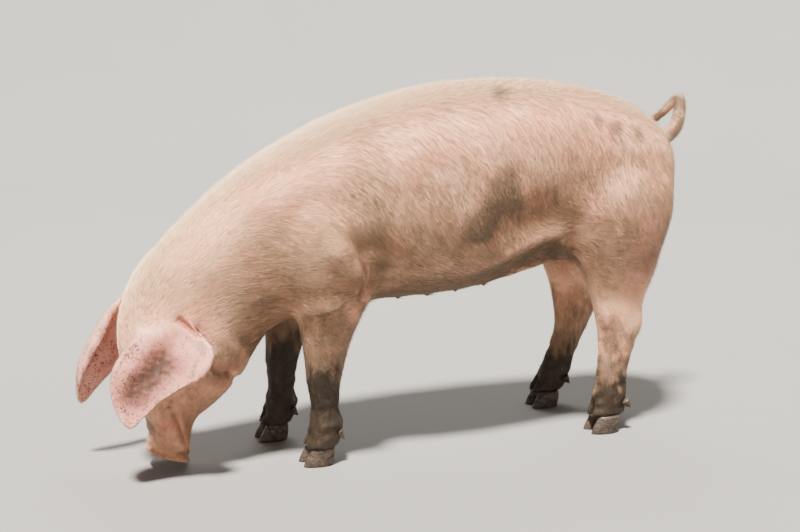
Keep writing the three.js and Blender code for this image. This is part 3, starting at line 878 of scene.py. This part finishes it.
class Marks:
    """The fields that skin and coat read. A field keeps the strongest of the marks laid on it."""

    def __init__(self, form):
        self.wander = ripple(form.places, 0.05, 3)
        self.streak = ripple(form.places * [1, 1, 0.3], 0.022, 4)
        self.fields = {name: np.zeros(len(form.places)) for name in (*MARKS, "short")}

    def grow(self, name, values):
        """Lays a mark on a field."""
        self.fields[name] = np.maximum(self.fields[name], values)


def mark_feet(marks, form):
    """Mud from each foot up to its own ragged line, and a film of grime over that."""
    x, y, z, p = form.x, form.y, form.z, form.parts
    below = (1 - ramp(z, 0.42, 0.5)) * np.clip(1 - 3 * (p["head"] + p["snout"] + p["ear"]), 0, 1)
    for name, (line, ragged, slope, film) in MUD_LINES.items():
        mid = middle(f"hoof_{name}_outer")
        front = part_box(name)[1][0]
        mine = below * (np.abs(x - mid[0]) < 0.22) * (y * mid[1] > 0)
        mine *= 1 - ramp(z, 0.30, 0.36) * ramp(x, front - 0.05, front - 0.01)
        edge = line + ragged * 0.6 * (marks.wander + marks.streak) + slope * (x - mid[0])
        marks.grow("mud", mine * np.clip((edge - z) / 0.06 + 0.7, 0, 2.2))
        marks.grow("grime_and_painted_shade", mine * 1.1 * ramp(line + 0.10 - z, 0.0, 0.07))
        high = film + 0.03 * marks.wander
        marks.grow("grime_and_painted_shade", mine * 0.8 * ramp(high - z, 0.0, 0.6 * (film - line)))


def mark_body(marks, form):
    """Grimy, flushed patches on the flanks, and a dull, dirty underside. Painted shade darkens the
    underside, the chest between the forelegs, and the flanks and head the more they turn down.
    """
    x, p, wander = form.x, form.parts, marks.wander
    down = -form.out[:, 2]
    for (node, side), spots in GRIME.items():
        for ahead, up, reach, strength in spots:
            reach = reach * (1 + 0.3 * wander)
            marks.grow("grime_and_painted_shade", strength * form.on_side(drawn(node, [(ahead, up)]), reach, side))
    for node, spots in BLUSH.items():
        for ahead, up, reach, strength in spots:
            both = form.flank(1) + form.flank(-1)
            marks.grow("blush", strength * form.by_line(drawn(node, [(ahead, up)]), reach) * both)
    # a dark patch on the near flank, ahead of the thigh
    reach = 0.058 * (1 + 0.25 * wander)
    marks.grow("grime_and_painted_shade", 1.2 * form.on_side(drawn("trunk", FLANK_DARK_PATCH), reach, 1))
    # the underside is dirty and also darkened with painted shade, the more so towards the groin
    under = ramp(down, 0.1, 0.8) * p["body"] * (1 - ramp(x, 0.20, 0.36))
    marks.grow("grime_and_painted_shade", 0.95 * under)
    marks.grow("shade", 0.50 * under + 0.25 * under * ramp(-x, 0.05, 0.22))
    # a thin film of dirt all over, and painted shade that grows as the surface turns down, laid on as dirt
    # and as shade
    soil_and_shade = 0.10 + 0.22 * ramp(down, -0.75, -0.20) + 0.26 * ramp(down, -0.40, 0.25)
    marks.grow("grime_and_painted_shade", soil_and_shade * (1 + 0.10 * wander) * (p["body"] + 0.8 * p["head"]))
    marks.grow("shade", 0.38 * ramp(down, -0.55, 0.35) * p["body"])
    # painted shade in the hollow of the chest between the forelegs
    chest = np.array([drawn("foreleg_left", (1.0, 0))[0], 0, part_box("trunk")[0][2]])
    marks.grow("shade", 0.80 * form.near(chest, 0.100) * ramp(down, -0.2, 0.3) * p["body"])
    marks.grow("grime_and_painted_shade", p["tail"] * (0.6 + 0.4 * ramp(wander, -0.6, 0.6)))
    marks.grow("shade", 0.15 * p["tail"])
    specked = (0.20 + 0.12 * ramp(x, -0.1, 0.2)) * p["body"]
    marks.grow("speck", specked + 0.15 * p["head"] + 0.2 * p["leg"] + 0.15 * p["snout"])


def mark_head(marks, form):
    """A flushed head with a tanned crown, and a muzzle tanned and dirty from rooting. Painted shade darkens
    the parts of the head that turn back.
    """
    p, wander = form.parts, marks.wander
    # painted shade where the head turns back: jowl, throat and the back of the cheek
    marks.grow("shade", 0.42 * ramp(-form.out[:, 0], -0.30, 0.40) * p["head"])
    marks.grow("blush", 0.12 * p["head"])
    eye_level = middle("eye_left")[2]
    muzzle = np.maximum(p["head"] * ramp(eye_level - 0.02 - form.z, 0, 0.1), p["snout"])
    snout = middle("snout")
    marks.grow("tan", 0.75 * muzzle * ramp(form.x, snout[0] - 0.13, snout[0] - 0.04))
    poll = box("head")[1] * [1, 0, 1] - [0.03, 0, 0.05]
    marks.grow("tan", 0.5 * form.near(poll, 0.13) * ramp(form.out[:, 0], -0.2, 0.8))
    marks.grow("shade", 0.35 * p["snout"] * ramp(wander, -0.4, 0.6))
    marks.grow("grime_and_painted_shade", 0.50 * p["snout"] * ramp(marks.streak, -0.8, 0.8))
    marks.grow("grime_and_painted_shade", 1.3 * form.near(snout + [0.035, 0.01, 0.058], 0.026))


def mark_side(marks, form, side, sign):
    """One side's ear, lip, eyelids and creases. Ears are speckled and flushed, with painted shade in the
    hollow, in the notch and on the inner face. The creases of elbow, arm and jowl get painted shade too.
    """
    node, leg = f"ear_{side}", f"foreleg_{side}"
    low, high = box(node)
    mine = form.parts["ear"] * form.of_side(sign)
    facing = ramp(form.facing(sign), 0.1, 0.6) * mine
    streaky = 1 + 0.12 * ripple(form.places, 0.012, 6)
    marks.grow("speck", mine * (0.52 + 0.25 * ramp(form.x, low[0] + 0.05, high[0] - 0.03)))
    # painted shade in the ear's hollow, laid on as shade and, more lightly, as dirt
    trough = drawn(node, EAR_TROUGH[1:])
    marks.grow("shade", facing * form.by_line(trough, 0.041) * streaky)
    marks.grow("grime_and_painted_shade", 0.42 * facing * form.by_line(trough, 0.050) * streaky)
    marks.grow("grime_and_painted_shade", mine * 0.34)
    marks.grow("blush", 0.85 * facing * form.by_line(trough, 0.070))
    # the inner face of the ear, turned away, is pinker and has painted shade
    inner = mine * (1 - facing) * (1 - ramp(form.out[:, 0], 0.1, 0.6))
    marks.grow("blush", 0.35 * inner)
    marks.grow("shade", 0.20 * inner)
    # painted shade in the notch at the ear's root, over a red flush
    notch = form.by_line(drawn(node, EAR_NOTCH), 0.010)
    notch *= ramp(form.facing(sign), -0.2, 0.3) * form.of_side(sign)
    marks.grow("blush", 0.9 * notch)
    marks.grow("shade", 0.55 * notch**2)
    ball = middle(f"eye_{side}")
    eye = ball[[0, 2]]
    marks.grow("blush", 0.5 * form.near(ball, 0.026))
    crease, fold = drawn(leg, ELBOW_CREASE[1:]), eye + JOWL_FOLD
    deeper = 1 - ramp(form.z, crease[1, 1], crease[0, 1])
    # painted shade along the elbow crease, the arm fold and the jowl's fold; behind the elbow crease it is
    # laid on as dirt as well
    for name, strength, line, reach in (
        ("blush", 0.75, eye + [(-0.031, -0.158), (-0.057, -0.166)], 0.012),
        ("shade", 0.95 * deeper, crease - [0.002, 0], 0.0065),
        ("grime_and_painted_shade", 0.55, crease[2:] - [0.02, 0], 0.04),
        ("short", 0.6, crease + [0.012, 0], 0.024),
        ("shade", 0.45, drawn(leg, ARM_FOLD), 0.004),
        ("shade", 0.30, fold, 0.005),
        ("short", 1.0, fold, 0.025),
    ):
        marks.grow(name, strength * form.on_side(line, reach, sign))


def markings(form):
    """Where the hide is muddy, grimy, specked, flushed, tanned, in shade or short of hair."""
    marks = Marks(form)
    mark_feet(marks, form)
    mark_body(marks, form)
    mark_head(marks, form)
    for side, sign in SIDES.items():
        mark_side(marks, form, side, sign)
    return marks.fields


THIN_EVENLY = 1000.0
THIN_STEPS = 20
THIN_TRUNK = 0.68
THIN_SPARED = 0.36


def thin(form, budget):
    """Fewer, larger triangles on the trunk, so that head, ears and feet keep theirs."""
    p, skin = form.parts, form.skin
    foot = p["leg"] * ramp(0.2 - form.z, 0, 0.1)
    keep = np.clip(p["head"] + p["snout"] + p["ear"] + p["tail"] + foot, 0, 1)
    group = skin.vertex_groups.new(name="thin")
    weight = THIN_TRUNK - THIN_SPARED * keep
    for step in range(THIN_STEPS + 1):
        members = np.flatnonzero(np.round(weight * THIN_STEPS) == step)
        group.add(members.tolist(), step / THIN_STEPS, "REPLACE")
    faces = sum(len(f.vertices) - 2 for f in skin.data.polygons)
    finish_modifier(
        skin, "DECIMATE", ratio=budget / faces, vertex_group="thin", vertex_group_factor=THIN_EVENLY)


def unwrap(skin):
    """Opens the skin out flat by its own shape, for the patterns and the coat's roots."""
    choose(skin)
    bpy.ops.object.mode_set(mode="EDIT")
    bpy.ops.mesh.select_all(action="SELECT")
    bpy.ops.uv.smart_project(angle_limit=1.2, island_margin=0.002)
    bpy.ops.object.mode_set(mode="OBJECT")
    skin.data.uv_layers[0].name = "OFBake"


# ---- coat ----------------------------------------------------------------------------------

COMBED = {
    # node: share ahead, share up, heading ahead, heading up
    "trunk": [
        (0.02, 0.60, -0.25, -1.0), (0.07, 0.80, -0.90, -0.7), (0.25, 0.97, -1.0, -0.2),
        (0.50, 1.00, -1.0, -0.05), (0.72, 0.97, -1.0, 0.15), (0.92, 0.82, -0.9, 0.4),
        (0.12, 0.70, -0.35, -1.0), (0.30, 0.80, -0.30, -1.0), (0.50, 0.82, -0.50, -1.0),
        (0.68, 0.78, -0.65, -1.0), (0.82, 0.68, -0.8, -0.8), (0.22, 0.60, -0.15, -1.0),
        (0.42, 0.58, -0.22, -1.0), (0.60, 0.52, -0.45, -1.0), (0.78, 0.48, -0.65, -0.9),
        (0.36, 0.30, -0.80, 0.25), (0.48, 0.34, -0.45, -0.8), (0.45, 0.12, -1.0, 0.05),
        (0.62, 0.15, -0.9, -0.35)],
    "hindleg_left": [
        (0.15, 0.95, -0.5, -0.9), (0.30, 0.80, -0.6, -0.8), (0.35, 0.62, -0.9, -0.35),
        (0.75, 0.66, -0.8, 0.0), (0.60, 0.48, -0.85, -0.5), (0.60, 0.32, -0.35, -1.0),
        (0.60, 0.10, -0.05, -1.0)],
    "foreleg_left": [
        (0.45, 0.95, -0.75, -0.7), (0.80, 0.78, -0.9, 0.1), (0.55, 0.64, -1.0, -0.05),
        (0.55, 0.50, -0.75, -0.6), (0.60, 0.32, -0.4, -1.0), (0.60, 0.10, -0.05, -1.0)],
    "neck": [
        (0.35, 0.92, -0.8, 0.65), (0.75, 0.65, -0.6, 0.8), (0.25, 0.65, -0.95, -0.2),
        (0.50, 0.45, -0.95, 0.1), (0.45, 0.20, -0.95, 0.25), (0.80, 0.30, -0.75, 0.6)],
    "head": [
        (0.90, 0.90, -0.4, 1.0), (0.85, 0.50, -0.2, 1.0), (0.65, 0.20, -0.2, 1.0),
        (0.40, 0.55, -0.75, 0.6), (0.15, 0.40, -0.85, 0.2)],
}
EAR_WAY = np.array([0.30, 0, -0.95])
COMB_BLEND = 1e-5


def lie_of(places, out, known):
    """The way the hair lies at each place: drawn from a few combed spots on the body, down the ears
    and along the tail. It is bent to run along the surface."""
    spots = np.concatenate([drawn(node, [row[:2] for row in rows]) for node, rows in COMBED.items()])
    ways = unit(np.array([[ahead, 0, up] for rows in COMBED.values() for *_, ahead, up in rows]))
    gap = np.linalg.norm(places[:, None, (0, 2)] - spots, axis=2)
    share = 1 / (gap**3 + COMB_BLEND)
    heading = (share / share.sum(axis=1, keepdims=True)) @ ways
    ear, tail = known["ear"][:, None], known["tail"][:, None]
    heading = heading * (1 - ear) + EAR_WAY * ear
    # along the tail's curl from its root to its tip, as seen from its side
    turn = (places - middle("tail"))[:, (2, 1, 0)] * [1, 0, -1]
    heading = np.where(tail > 0.5, turn, heading)
    return unit(heading - out * np.sum(heading * out, axis=1, keepdims=True))


class Hide:
    """The finished skin as arrays, for setting tufts on it."""

    def __init__(self, skin):
        mesh = skin.data
        mesh.calc_loop_triangles()
        self.faces = read(mesh.loop_triangles, "vertices", 3, np.int32)
        loops = read(mesh.loop_triangles, "loops", 3, np.int32)
        self.flat = read(mesh.uv_layers["OFBake"].data, "uv", 2)[loops]
        self.places = corners(skin)
        self.out = read(mesh.vertex_normals, "vector", 3)
        self.fields = {
            name: read(mesh.attributes[name].data, "value") for name in (*MARKS, "short", *PARTS)}
        a, b, c = (self.places[self.faces[:, k]] for k in range(3))
        self.area = 0.5 * np.linalg.norm(np.cross(b - a, c - a), axis=1)
        self.tree = BVHTree.FromPolygons(self.places.tolist(), self.faces.tolist())

    def sown(self, weight, count, rng):
        """count points on the skin, as thick as weight says, with all that is known there."""
        chance = self.area * weight[self.faces].mean(axis=1)
        face = rng.choice(len(chance), size=count, p=chance / chance.sum())
        u, v = rng.random((2, count))
        flip = u + v > 1
        u, v = np.where(flip, 1 - u, u), np.where(flip, 1 - v, v)
        share = np.stack([1 - u - v, u, v], 1)

        def mix(values):
            return np.einsum("nk,nk...->n...", share, values)

        known = {name: mix(values[self.faces[face]]) for name, values in self.fields.items()}
        known["root"] = mix(self.places[self.faces[face]])
        known["out"] = unit(mix(self.out[self.faces[face]]))
        known["flat"] = mix(self.flat[face])
        return known

    def lifted(self, points, least, most):
        """The points, moved so that each stands between least and most off the skin."""
        for k, point in enumerate(points.tolist()):
            spot_on, normal, *_ = self.tree.find_nearest(point)
            off = (Vector(point) - spot_on).dot(normal)
            if off < least[k] or off > most[k]:
                points[k] = spot_on + normal * min(max(off, least[k]), most[k])
        return points


STRAY = 0.08
SUNK = 0.6 * MM
CLEAR = 0.6 * MM
LENGTHS, WIDTHS, LIFTS = (0.65, 1.25), (0.6, 1.3), (0.4, 1.6)
# what is left of the bend and of the width in each segment of a tuft
BENDS, TAPERS = (1.0, 0.15), (1.0, 0.75)
SPIKE = ((0.6, 0.0), (-0.3, 0.8), (-0.3, -0.8))
PATCH = 3 * MM


def spikes(hide, known, length, width, lift, segments, rng):
    """The corners of one tuft for each root: a three-sided spike, bent once if it has two segments.
    Length, width and the lift off the skin vary from tuft to tuft."""
    root, out = known["root"], known["out"]
    count = len(root)
    heading = lie_of(root, out, known)
    stray = STRAY * ripple(root, 0.35, 5) * 0.6 + rng.normal(0, STRAY, count)
    heading = heading * np.cos(stray)[:, None] + np.cross(out, heading) * np.sin(stray)[:, None]
    across = np.cross(out, heading)
    run = length * rng.uniform(*LENGTHS, count)
    half = width * rng.uniform(*WIDTHS, count) / 2
    angle = lift * rng.uniform(*LIFTS, count)
    spine = [root - out * SUNK]
    for bend in BENDS[:segments]:
        ahead = heading * np.cos(angle * bend)[:, None] + out * np.sin(angle * bend)[:, None]
        spine.append(spine[-1] + ahead * (run / segments)[:, None])
    rise = np.sin(angle) * run
    most = 1.3 * rise + 3 * MM
    spine[-1] = hide.lifted(spine[-1], np.minimum(0.5 * rise + CLEAR, 4 * MM), most)
    if segments > 1:
        spine[-2] = hide.lifted(spine[-2], 0.4 * rise + CLEAR, most)
    rings = []
    for centre, taper in zip(spine[:-1], TAPERS):
        wide = (half * taper)[:, None]
        rings += [centre + (out * up + across * aside) * wide for up, aside in SPIKE]
    return np.stack([*rings, spine[-1]], 1)


def tufts(name, points, known, segments, rng, material):
    """One piece of coat from its tufts' corners. Each tuft keeps what is known at its root."""
    count, per, _ = points.shape
    tip = per - 1
    faces = [(2, 1, 0)]
    for ring in range(segments):
        for a, b in ((0, 1), (1, 2), (2, 0)):
            a, b = a + 3 * ring, b + 3 * ring
            faces += [(a, b, tip)] if ring == segments - 1 else [(a, b, b + 3), (a, b + 3, a + 3)]
    faces = (np.array(faces) + per * np.arange(count)[:, None, None]).reshape(-1, 3)
    mesh = bpy.data.meshes.new(name)
    mesh.vertices.add(count * per)
    mesh.vertices.foreach_set("co", points.astype(np.float32).ravel())
    mesh.loops.add(faces.size)
    mesh.loops.foreach_set("vertex_index", faces.astype(np.int32).ravel())
    mesh.polygons.add(len(faces))
    mesh.polygons.foreach_set("loop_start", np.arange(0, faces.size, 3, dtype=np.int32))
    mesh.update(calc_edges=True)
    piece = bpy.data.objects.new(name, mesh)
    bpy.context.scene.collection.objects.link(piece)
    along = np.array([k // 3 for k in range(per)]) / segments
    aside = np.array([-0.5, 0.5, 0.0] * segments + [0.0])
    spread = known["flat"][:, None] + np.stack([along - 0.5, aside], 1) * PATCH
    uv = mesh.uv_layers.new(name="OFBake")
    uv.data.foreach_set("uv", spread.reshape(-1, 2)[faces.ravel()].astype(np.float32).ravel())
    set_field(piece, "tip", np.tile(along, count))
    set_field(piece, "tint", np.repeat(rng.random(count), per))
    for key in (*MARKS, "root"):
        set_field(piece, key, np.repeat(known[key], per, axis=0))
    mesh.shade_smooth()
    mesh.materials.append(material)
    return piece


# ---- settings, operators and panel ---------------------------------------------------------


class PigSkinSettings(bpy.types.PropertyGroup):
    """Sizes of the skin."""

    voxel: bpy.props.FloatProperty(
        name="Voxel", description="Grain of the fused skin before it is thinned",
        default=0.003, min=0.001, unit="LENGTH")
    triangles: bpy.props.IntProperty(
        name="Triangles", description="How many triangles the finished skin has",
        default=185000, min=10000)


class PigCoatSettings(bpy.types.PropertyGroup):
    """Sizes of the coat."""

    fullness: bpy.props.FloatProperty(
        name="Fullness", description="Share of the full number of tufts",
        default=1.0, min=0.01, max=1.0, subtype="FACTOR")
    length: bpy.props.FloatProperty(
        name="Length", description="Length of the bristles on the flank",
        default=0.028, min=0.002, unit="LENGTH")
    width: bpy.props.FloatProperty(
        name="Width", description="Width of a bristle tuft at its root",
        default=0.0007, min=0.0001, unit="LENGTH")


class PigStageSettings(bpy.types.PropertyGroup):
    """Floor and light."""

    floor: bpy.props.FloatVectorProperty(
        name="Floor", description="Colour of the studio floor",
        default=(0.205, 0.200, 0.192), subtype="COLOR")
    key: bpy.props.FloatProperty(
        name="Key light", description="Strength of the main light", default=19.5, min=0.0)


class PIG_OT_skin(bpy.types.Operator):
    """Fuses the flesh into one skin and works its folds, lids, lips, nostrils and teats"""

    bl_idname = "pig.skin"
    bl_label = "Skin"

    def execute(self, context):
        settings = context.scene.pig_skin
        skin = fused_flesh(settings.voxel)
        form = Sculpt(skin)
        keep_parts(form)
        for work in (relax, shape_body, shape_legs, shape_belly, shape_snout, shape_head, coat_depth):
            work(form)
        for name, values in markings(form).items():
            set_field(skin, name, values)
        thin(form, settings.triangles)
        skin.data.shade_smooth()
        unwrap(skin)
        skin.data.materials.append(skin_material())
        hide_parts(*FLESH)
        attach(skin, BODY)
        return {"FINISHED"}


class PIG_OT_eyes(bpy.types.Operator):
    """Sets an eyeball with iris and pupil behind each pair of lids"""

    bl_idname = "pig.eyes"
    bl_label = "Eyes"

    def execute(self, context):
        material = eye_material()
        for side, sign in SIDES.items():
            bpy.ops.object.select_all(action="DESELECT")
            bpy.ops.mesh.primitive_uv_sphere_add(
                segments=64, ring_count=40, radius=EYE_RADIUS, location=(0, 0, 0))
            ball = bpy.context.object
            ball.name = f"eyeball_{side}"
            places = corners(ball)
            off = np.arccos(np.clip(places[:, 2] / EYE_RADIUS, -1, 1))
            set_field(ball, "off_centre", off)
            set_field(ball, "spoke", unit(places * [1, 1, 0]) * 0.5 + off[:, None] * 0.05)
            # the cornea bulges over the iris, and the eye turns to look out
            places *= 1 + 0.05 * hill(off, 0.55)[:, None]
            turn = Vector((0, 0, 1)).rotation_difference(Vector(gaze_of(sign))).to_matrix()
            set_corners(ball, places @ np.array(turn).T + middle(f"eye_{side}"))
            ball.data.shade_smooth()
            ball.data.materials.append(material)
            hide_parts(f"eye_{side}")
            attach(ball, BODY)
        return {"FINISHED"}


HORN_VOXEL = 0.0016
HORN_RINGS = 0.0011
HOOF_ROUNDS = 10
HOOF_RISE = 5 * MM
HOOF_FLARE = 0.03
DEWCLAW_ROUNDS = 60
DEWCLAW_GROWTH = 0.5
DEWCLAW_SHIFT = (4 * MM, 0, 2 * MM)
DEWCLAW_BLUNT = 0.55


def claw_places(node, places):
    """Where a claw's points go from their places on the solid, and how many rounds smooth it."""
    centre, top = middle(node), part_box(node)[1][2]
    if node.startswith("hoof_"):
        # a hoof runs up into the foot and flares a little there
        rise = ramp(places[:, 2], top - 0.004, top)[:, None]
        places = places + rise * [0, 0, HOOF_RISE]
        return places + (places - centre) * (rise * [HOOF_FLARE, HOOF_FLARE, 0]), HOOF_ROUNDS
    # a dewclaw is half as big again as its solid, and blunt below
    places = places + ((places - centre) * DEWCLAW_GROWTH + DEWCLAW_SHIFT)
    places[:, 2] -= DEWCLAW_BLUNT * np.minimum(places[:, 2] - centre[2] + 0.002, 0)
    return places, DEWCLAW_ROUNDS


class PIG_OT_hooves(bpy.types.Operator):
    """Shapes each claw and dewclaw from its solid, worn and ringed with growth"""

    bl_idname = "pig.hooves"
    bl_label = "Hooves and dewclaws"

    def execute(self, context):
        material = horn_material()
        for node in CLAWS:
            claw = copy_of(node, f"{node}_horn")
            places, rounds = claw_places(node, corners(claw))
            set_corners(claw, places)
            finish_modifier(claw, "REMESH", mode="VOXEL", voxel_size=HORN_VOXEL, adaptivity=0.0)
            form = Sculpt(claw)
            form.smooth(rounds, 0.6)
            # rings of growth and chips in the wall, both worn away towards the sole
            rings = 0.2 * np.sin(form.z / HORN_RINGS + 2 * ripple(form.places, 0.03, 8))
            chips = -0.5 * ramp(ripple(form.places, 0.012, 9), 0.8, 1.6)
            form.push((rings + chips) * ramp(form.z, 0.001, 0.006) * MM)
            claw.data.shade_smooth()
            claw.data.materials.append(material)
            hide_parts(node)
            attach(claw, BODY)
        return {"FINISHED"}


FIRST_SEED = 20


def coat_plan(hide, base):
    """The pieces of coat. A piece has a name, a weight that says where it grows, and a number of tufts.
    Length is given at two heights, or by the rule for the trunk. Then come the width as a share, how
    far tufts stand off the skin, how much more along the topline, and their segments."""
    f, out = hide.fields, hide.out
    x, y, z = hide.places.T
    upper = ramp(out[:, 2], 0.55, 0.9) * f["body"]
    body = np.clip(f["body"], 0, 1) * (1 - 0.5 * ramp(-out[:, 2], 0.2, 0.8)) * (1 + 0.5 * upper)
    neck, fore = ramp(x, 0.10, 0.11), ramp(x, -0.10, -0.09)
    face = np.clip(f["head"] + 0.5 * f["snout"], 0, 1)
    ears = f["ear"] * (0.5 - 0.35 * f["blush"] + ramp(0.8 - np.abs(out[:, 1]), 0, 0.3))
    crown, back, leg = (0.008, 0.026, 0.22, 0.40), (base * 1.3, base * 1.3, 0, 1), (0.009, 0.020, 0.05, 0.40)
    return [
        ("coat_trunk_left", body * (y > 0) * (1 - neck), 49000, None, 1.0, 0.10, 0.10, 1),
        ("coat_trunk_right", body * (y <= 0) * (1 - neck), 49000, None, 1.0, 0.10, 0.10, 1),
        ("coat_neck_left", body * (y > 0) * neck, 38000, None, 1.0, 0.11, 0.16, 1),
        ("coat_neck_right", body * (y <= 0) * neck, 38000, None, 1.0, 0.11, 0.16, 1),
        ("coat_back", upper, 18000, back, 0.9, 0.32, 0, 2),
        ("coat_head", face * (0.4 + f["tan"]), 32000, crown, 0.65, 0.20, 0, 1),
        ("coat_poll", face * ramp(z, 0.30, 0.42), 8000, (0.010, 0.032, 0.30, 0.42), 0.65, 0.22, 0, 2),
        ("coat_ears", ears, 34000, (0.0065, 0.0065, 0, 1), 0.4, 0.35, 0, 1),
        ("coat_legs_fore", f["leg"] * fore, 24000, leg, 0.7, 0.18, 0, 1),
        ("coat_legs_hind", f["leg"] * (1 - fore), 22000, leg, 0.7, 0.18, 0, 1),
        ("coat_tail", f["tail"], 4600, (0.010, 0.010, 0, 1), 0.55, 0.45, 0, 2),
    ]


def length_at(known, lengths, base):
    """How long the bristles are: from low to high between two heights, or, on the trunk, base long,
    longer where the hair is tanned, and short under the belly and in folds."""
    height = known["root"][:, 2]
    if lengths:
        low, high, bottom, top = lengths
        return low + (high - low) * ramp(height, bottom, top)
    short = 0.3 * ramp(-height, -0.40, -0.25) + 0.45 * known["short"]
    return base * (1 + 0.2 * known["tan"] - short)


class PIG_OT_coat(bpy.types.Operator):
    """Sets the bristles over the skin, along the lie of the coat"""

    bl_idname = "pig.coat"
    bl_label = "Coat"

    def execute(self, context):
        settings = context.scene.pig_coat
        hide = Hide(bpy.data.objects["skin"])
        material = bristle_material()
        for seed, row in enumerate(coat_plan(hide, settings.length), start=FIRST_SEED):
            name, weight, count, lengths, share, stand, on_top, segments = row
            rng = np.random.default_rng(seed)
            known = hide.sown(weight, int(count * settings.fullness), rng)
            length = length_at(known, lengths, settings.length)
            lift = stand + on_top * ramp(known["out"][:, 2], 0.6, 1.0)
            points = spikes(hide, known, length, settings.width * share, lift, segments, rng)
            piece = tufts(name, points, known, segments, rng, material)
            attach(piece, BODY)
        return {"FINISHED"}


SWEEP_CENTRE = 0.3
SWEEP_FLAT = 4.5
SWEEP_BEND = 3.0
SWEEP_SLOPE = 0.6
SWEEP_RADIUS = 18.0
SWEEP_TURNS = 96
SWEEP_STEPS = 12


def sweep():
    """A floor that is flat in the middle, and bends up all round into a long straight slope."""
    turns = np.linspace(0, 2 * np.pi, SWEEP_TURNS, endpoint=False)
    bends = np.linspace(0, SWEEP_SLOPE, SWEEP_STEPS)
    profile = [(SWEEP_FLAT + SWEEP_BEND * np.sin(b), SWEEP_BEND * (1 - np.cos(b))) for b in bends]
    rest = SWEEP_RADIUS - profile[-1][0]
    profile = [(SWEEP_CENTRE, 0.0), *profile, (SWEEP_RADIUS, profile[-1][1] + rest * np.tan(SWEEP_SLOPE))]
    points = [(0.0, 0.0, 0.0)] + [(r * np.cos(t), r * np.sin(t), z) for r, z in profile for t in turns]
    faces = []
    for k in range(SWEEP_TURNS):
        after = (k + 1) % SWEEP_TURNS
        faces.append((0, 1 + k, 1 + after))
        for ring in range(len(profile) - 1):
            a, b = 1 + ring * SWEEP_TURNS, 1 + (ring + 1) * SWEEP_TURNS
            faces.append((a + k, b + k, b + after, a + after))
    mesh = bpy.data.meshes.new("floor")
    mesh.from_pydata(points, [], faces)
    mesh.shade_smooth()
    return mesh


def floor_material(pale):
    """Matt studio paper, even but for a faint unevenness that keeps it from looking painted."""
    made, tree, shader = new_material("studio floor")
    where = add(tree, "TexCoord", out="Object")
    cloud = add(tree, "TexNoise", {"Vector": where, "Scale": 1 / 0.6, "Detail": 3.0, "Roughness": 0.55})
    share = add(tree, "MapRange", [cloud, 0.3, 0.7, 0.0, 0.12], **STEP)
    dim = [c * 0.8 for c in pale]
    tone = add(tree, "Mix", {0: share, 6: [*pale, 1.0], 7: [*dim, 1.0]}, **BLEND)
    feed(tree, shader, {"Base Color": tone, "Roughness": 0.85})
    return made


LIGHTS = [
    # name, kind, place, size, strength as a share of the key's, colour
    ("key", "SUN", (1.1, 1.4, 5.3), 0.14, 1.0, (1.0, 0.95, 0.87)),
    ("rim", "AREA", (-0.8, -2.4, 3.6), 2.0, 6.5, (1.0, 0.97, 0.93)),
]
LIT_PLACE = (0, 0, 0.45)
SKY = {"Color": (0.80, 0.88, 1.0, 1.0), "Strength": 0.12}
CAMERA_PLACE = (1.1205, 2.9953, 1.0701)
CAMERA_LOOK = (-0.3416, -0.9184, -0.2001)
CAMERA_LENS = 63.0
CAMERA_SENSOR = 36.0


class PIG_OT_stage(bpy.types.Operator):
    """Lays a plain floor that sweeps up all round, and sets soft lights and the camera"""

    bl_idname = "pig.stage"
    bl_label = "Floor, light and camera"

    def execute(self, context):
        settings = context.scene.pig_stage
        floor = bpy.data.objects.new("floor", sweep())
        context.scene.collection.objects.link(floor)
        floor.data.materials.append(floor_material(settings.floor))
        world = bpy.data.worlds.new("studio")
        world.use_nodes = True
        feed(world.node_tree, world.node_tree.nodes["Background"], SKY)
        context.scene.world = world
        for name, kind, place, size, share, tint in LIGHTS:
            bpy.ops.object.select_all(action="DESELECT")
            bpy.ops.object.light_add(type=kind, location=place)
            lamp = bpy.context.object
            lamp.name = name
            setattr(lamp.data, "angle" if kind == "SUN" else "size", size)
            lamp.data.energy = share * settings.key
            lamp.data.color = tint
            aim = Vector(LIT_PLACE) - Vector(place)
            lamp.rotation_euler = aim.to_track_quat("-Z", "Y").to_euler()
        bpy.ops.object.select_all(action="DESELECT")
        bpy.ops.object.camera_add(location=CAMERA_PLACE)
        camera = bpy.context.object
        camera.rotation_euler = Vector(CAMERA_LOOK).to_track_quat("-Z", "Y").to_euler()
        camera.data.lens = CAMERA_LENS
        camera.data.sensor_width = CAMERA_SENSOR
        context.scene.camera = camera
        return {"FINISHED"}


class PIG_PT_panel(bpy.types.Panel):
    """Lists the pieces of the pig"""

    bl_idname = "PIG_PT_panel"
    bl_label = "Pig"
    bl_space_type = "VIEW_3D"
    bl_region_type = "UI"
    bl_category = "Pig"

    def draw(self, context):
        for group in GROUPS:
            settings = getattr(context.scene, group)
            for key in settings.__annotations__:
                self.layout.prop(settings, key)
        for operator in OPERATORS:
            self.layout.operator(operator.bl_idname)


GROUPS = {"pig_skin": PigSkinSettings, "pig_coat": PigCoatSettings, "pig_stage": PigStageSettings}
OPERATORS = [PIG_OT_skin, PIG_OT_eyes, PIG_OT_hooves, PIG_OT_coat, PIG_OT_stage]
CLASSES = [*GROUPS.values(), *OPERATORS, PIG_PT_panel]


def register():
    for made in CLASSES:
        bpy.utils.register_class(made)
    for name, group in GROUPS.items():
        setattr(bpy.types.Scene, name, bpy.props.PointerProperty(type=group))


def unregister():
    for name in GROUPS:
        delattr(bpy.types.Scene, name)
    for made in reversed(CLASSES):
        bpy.utils.unregister_class(made)


def main():
    register()
    bpy.ops.pig.skin()
    bpy.ops.pig.eyes()
    bpy.ops.pig.hooves()
    bpy.ops.pig.coat()
    bpy.ops.pig.stage()


if __name__ == "__main__":
    main()
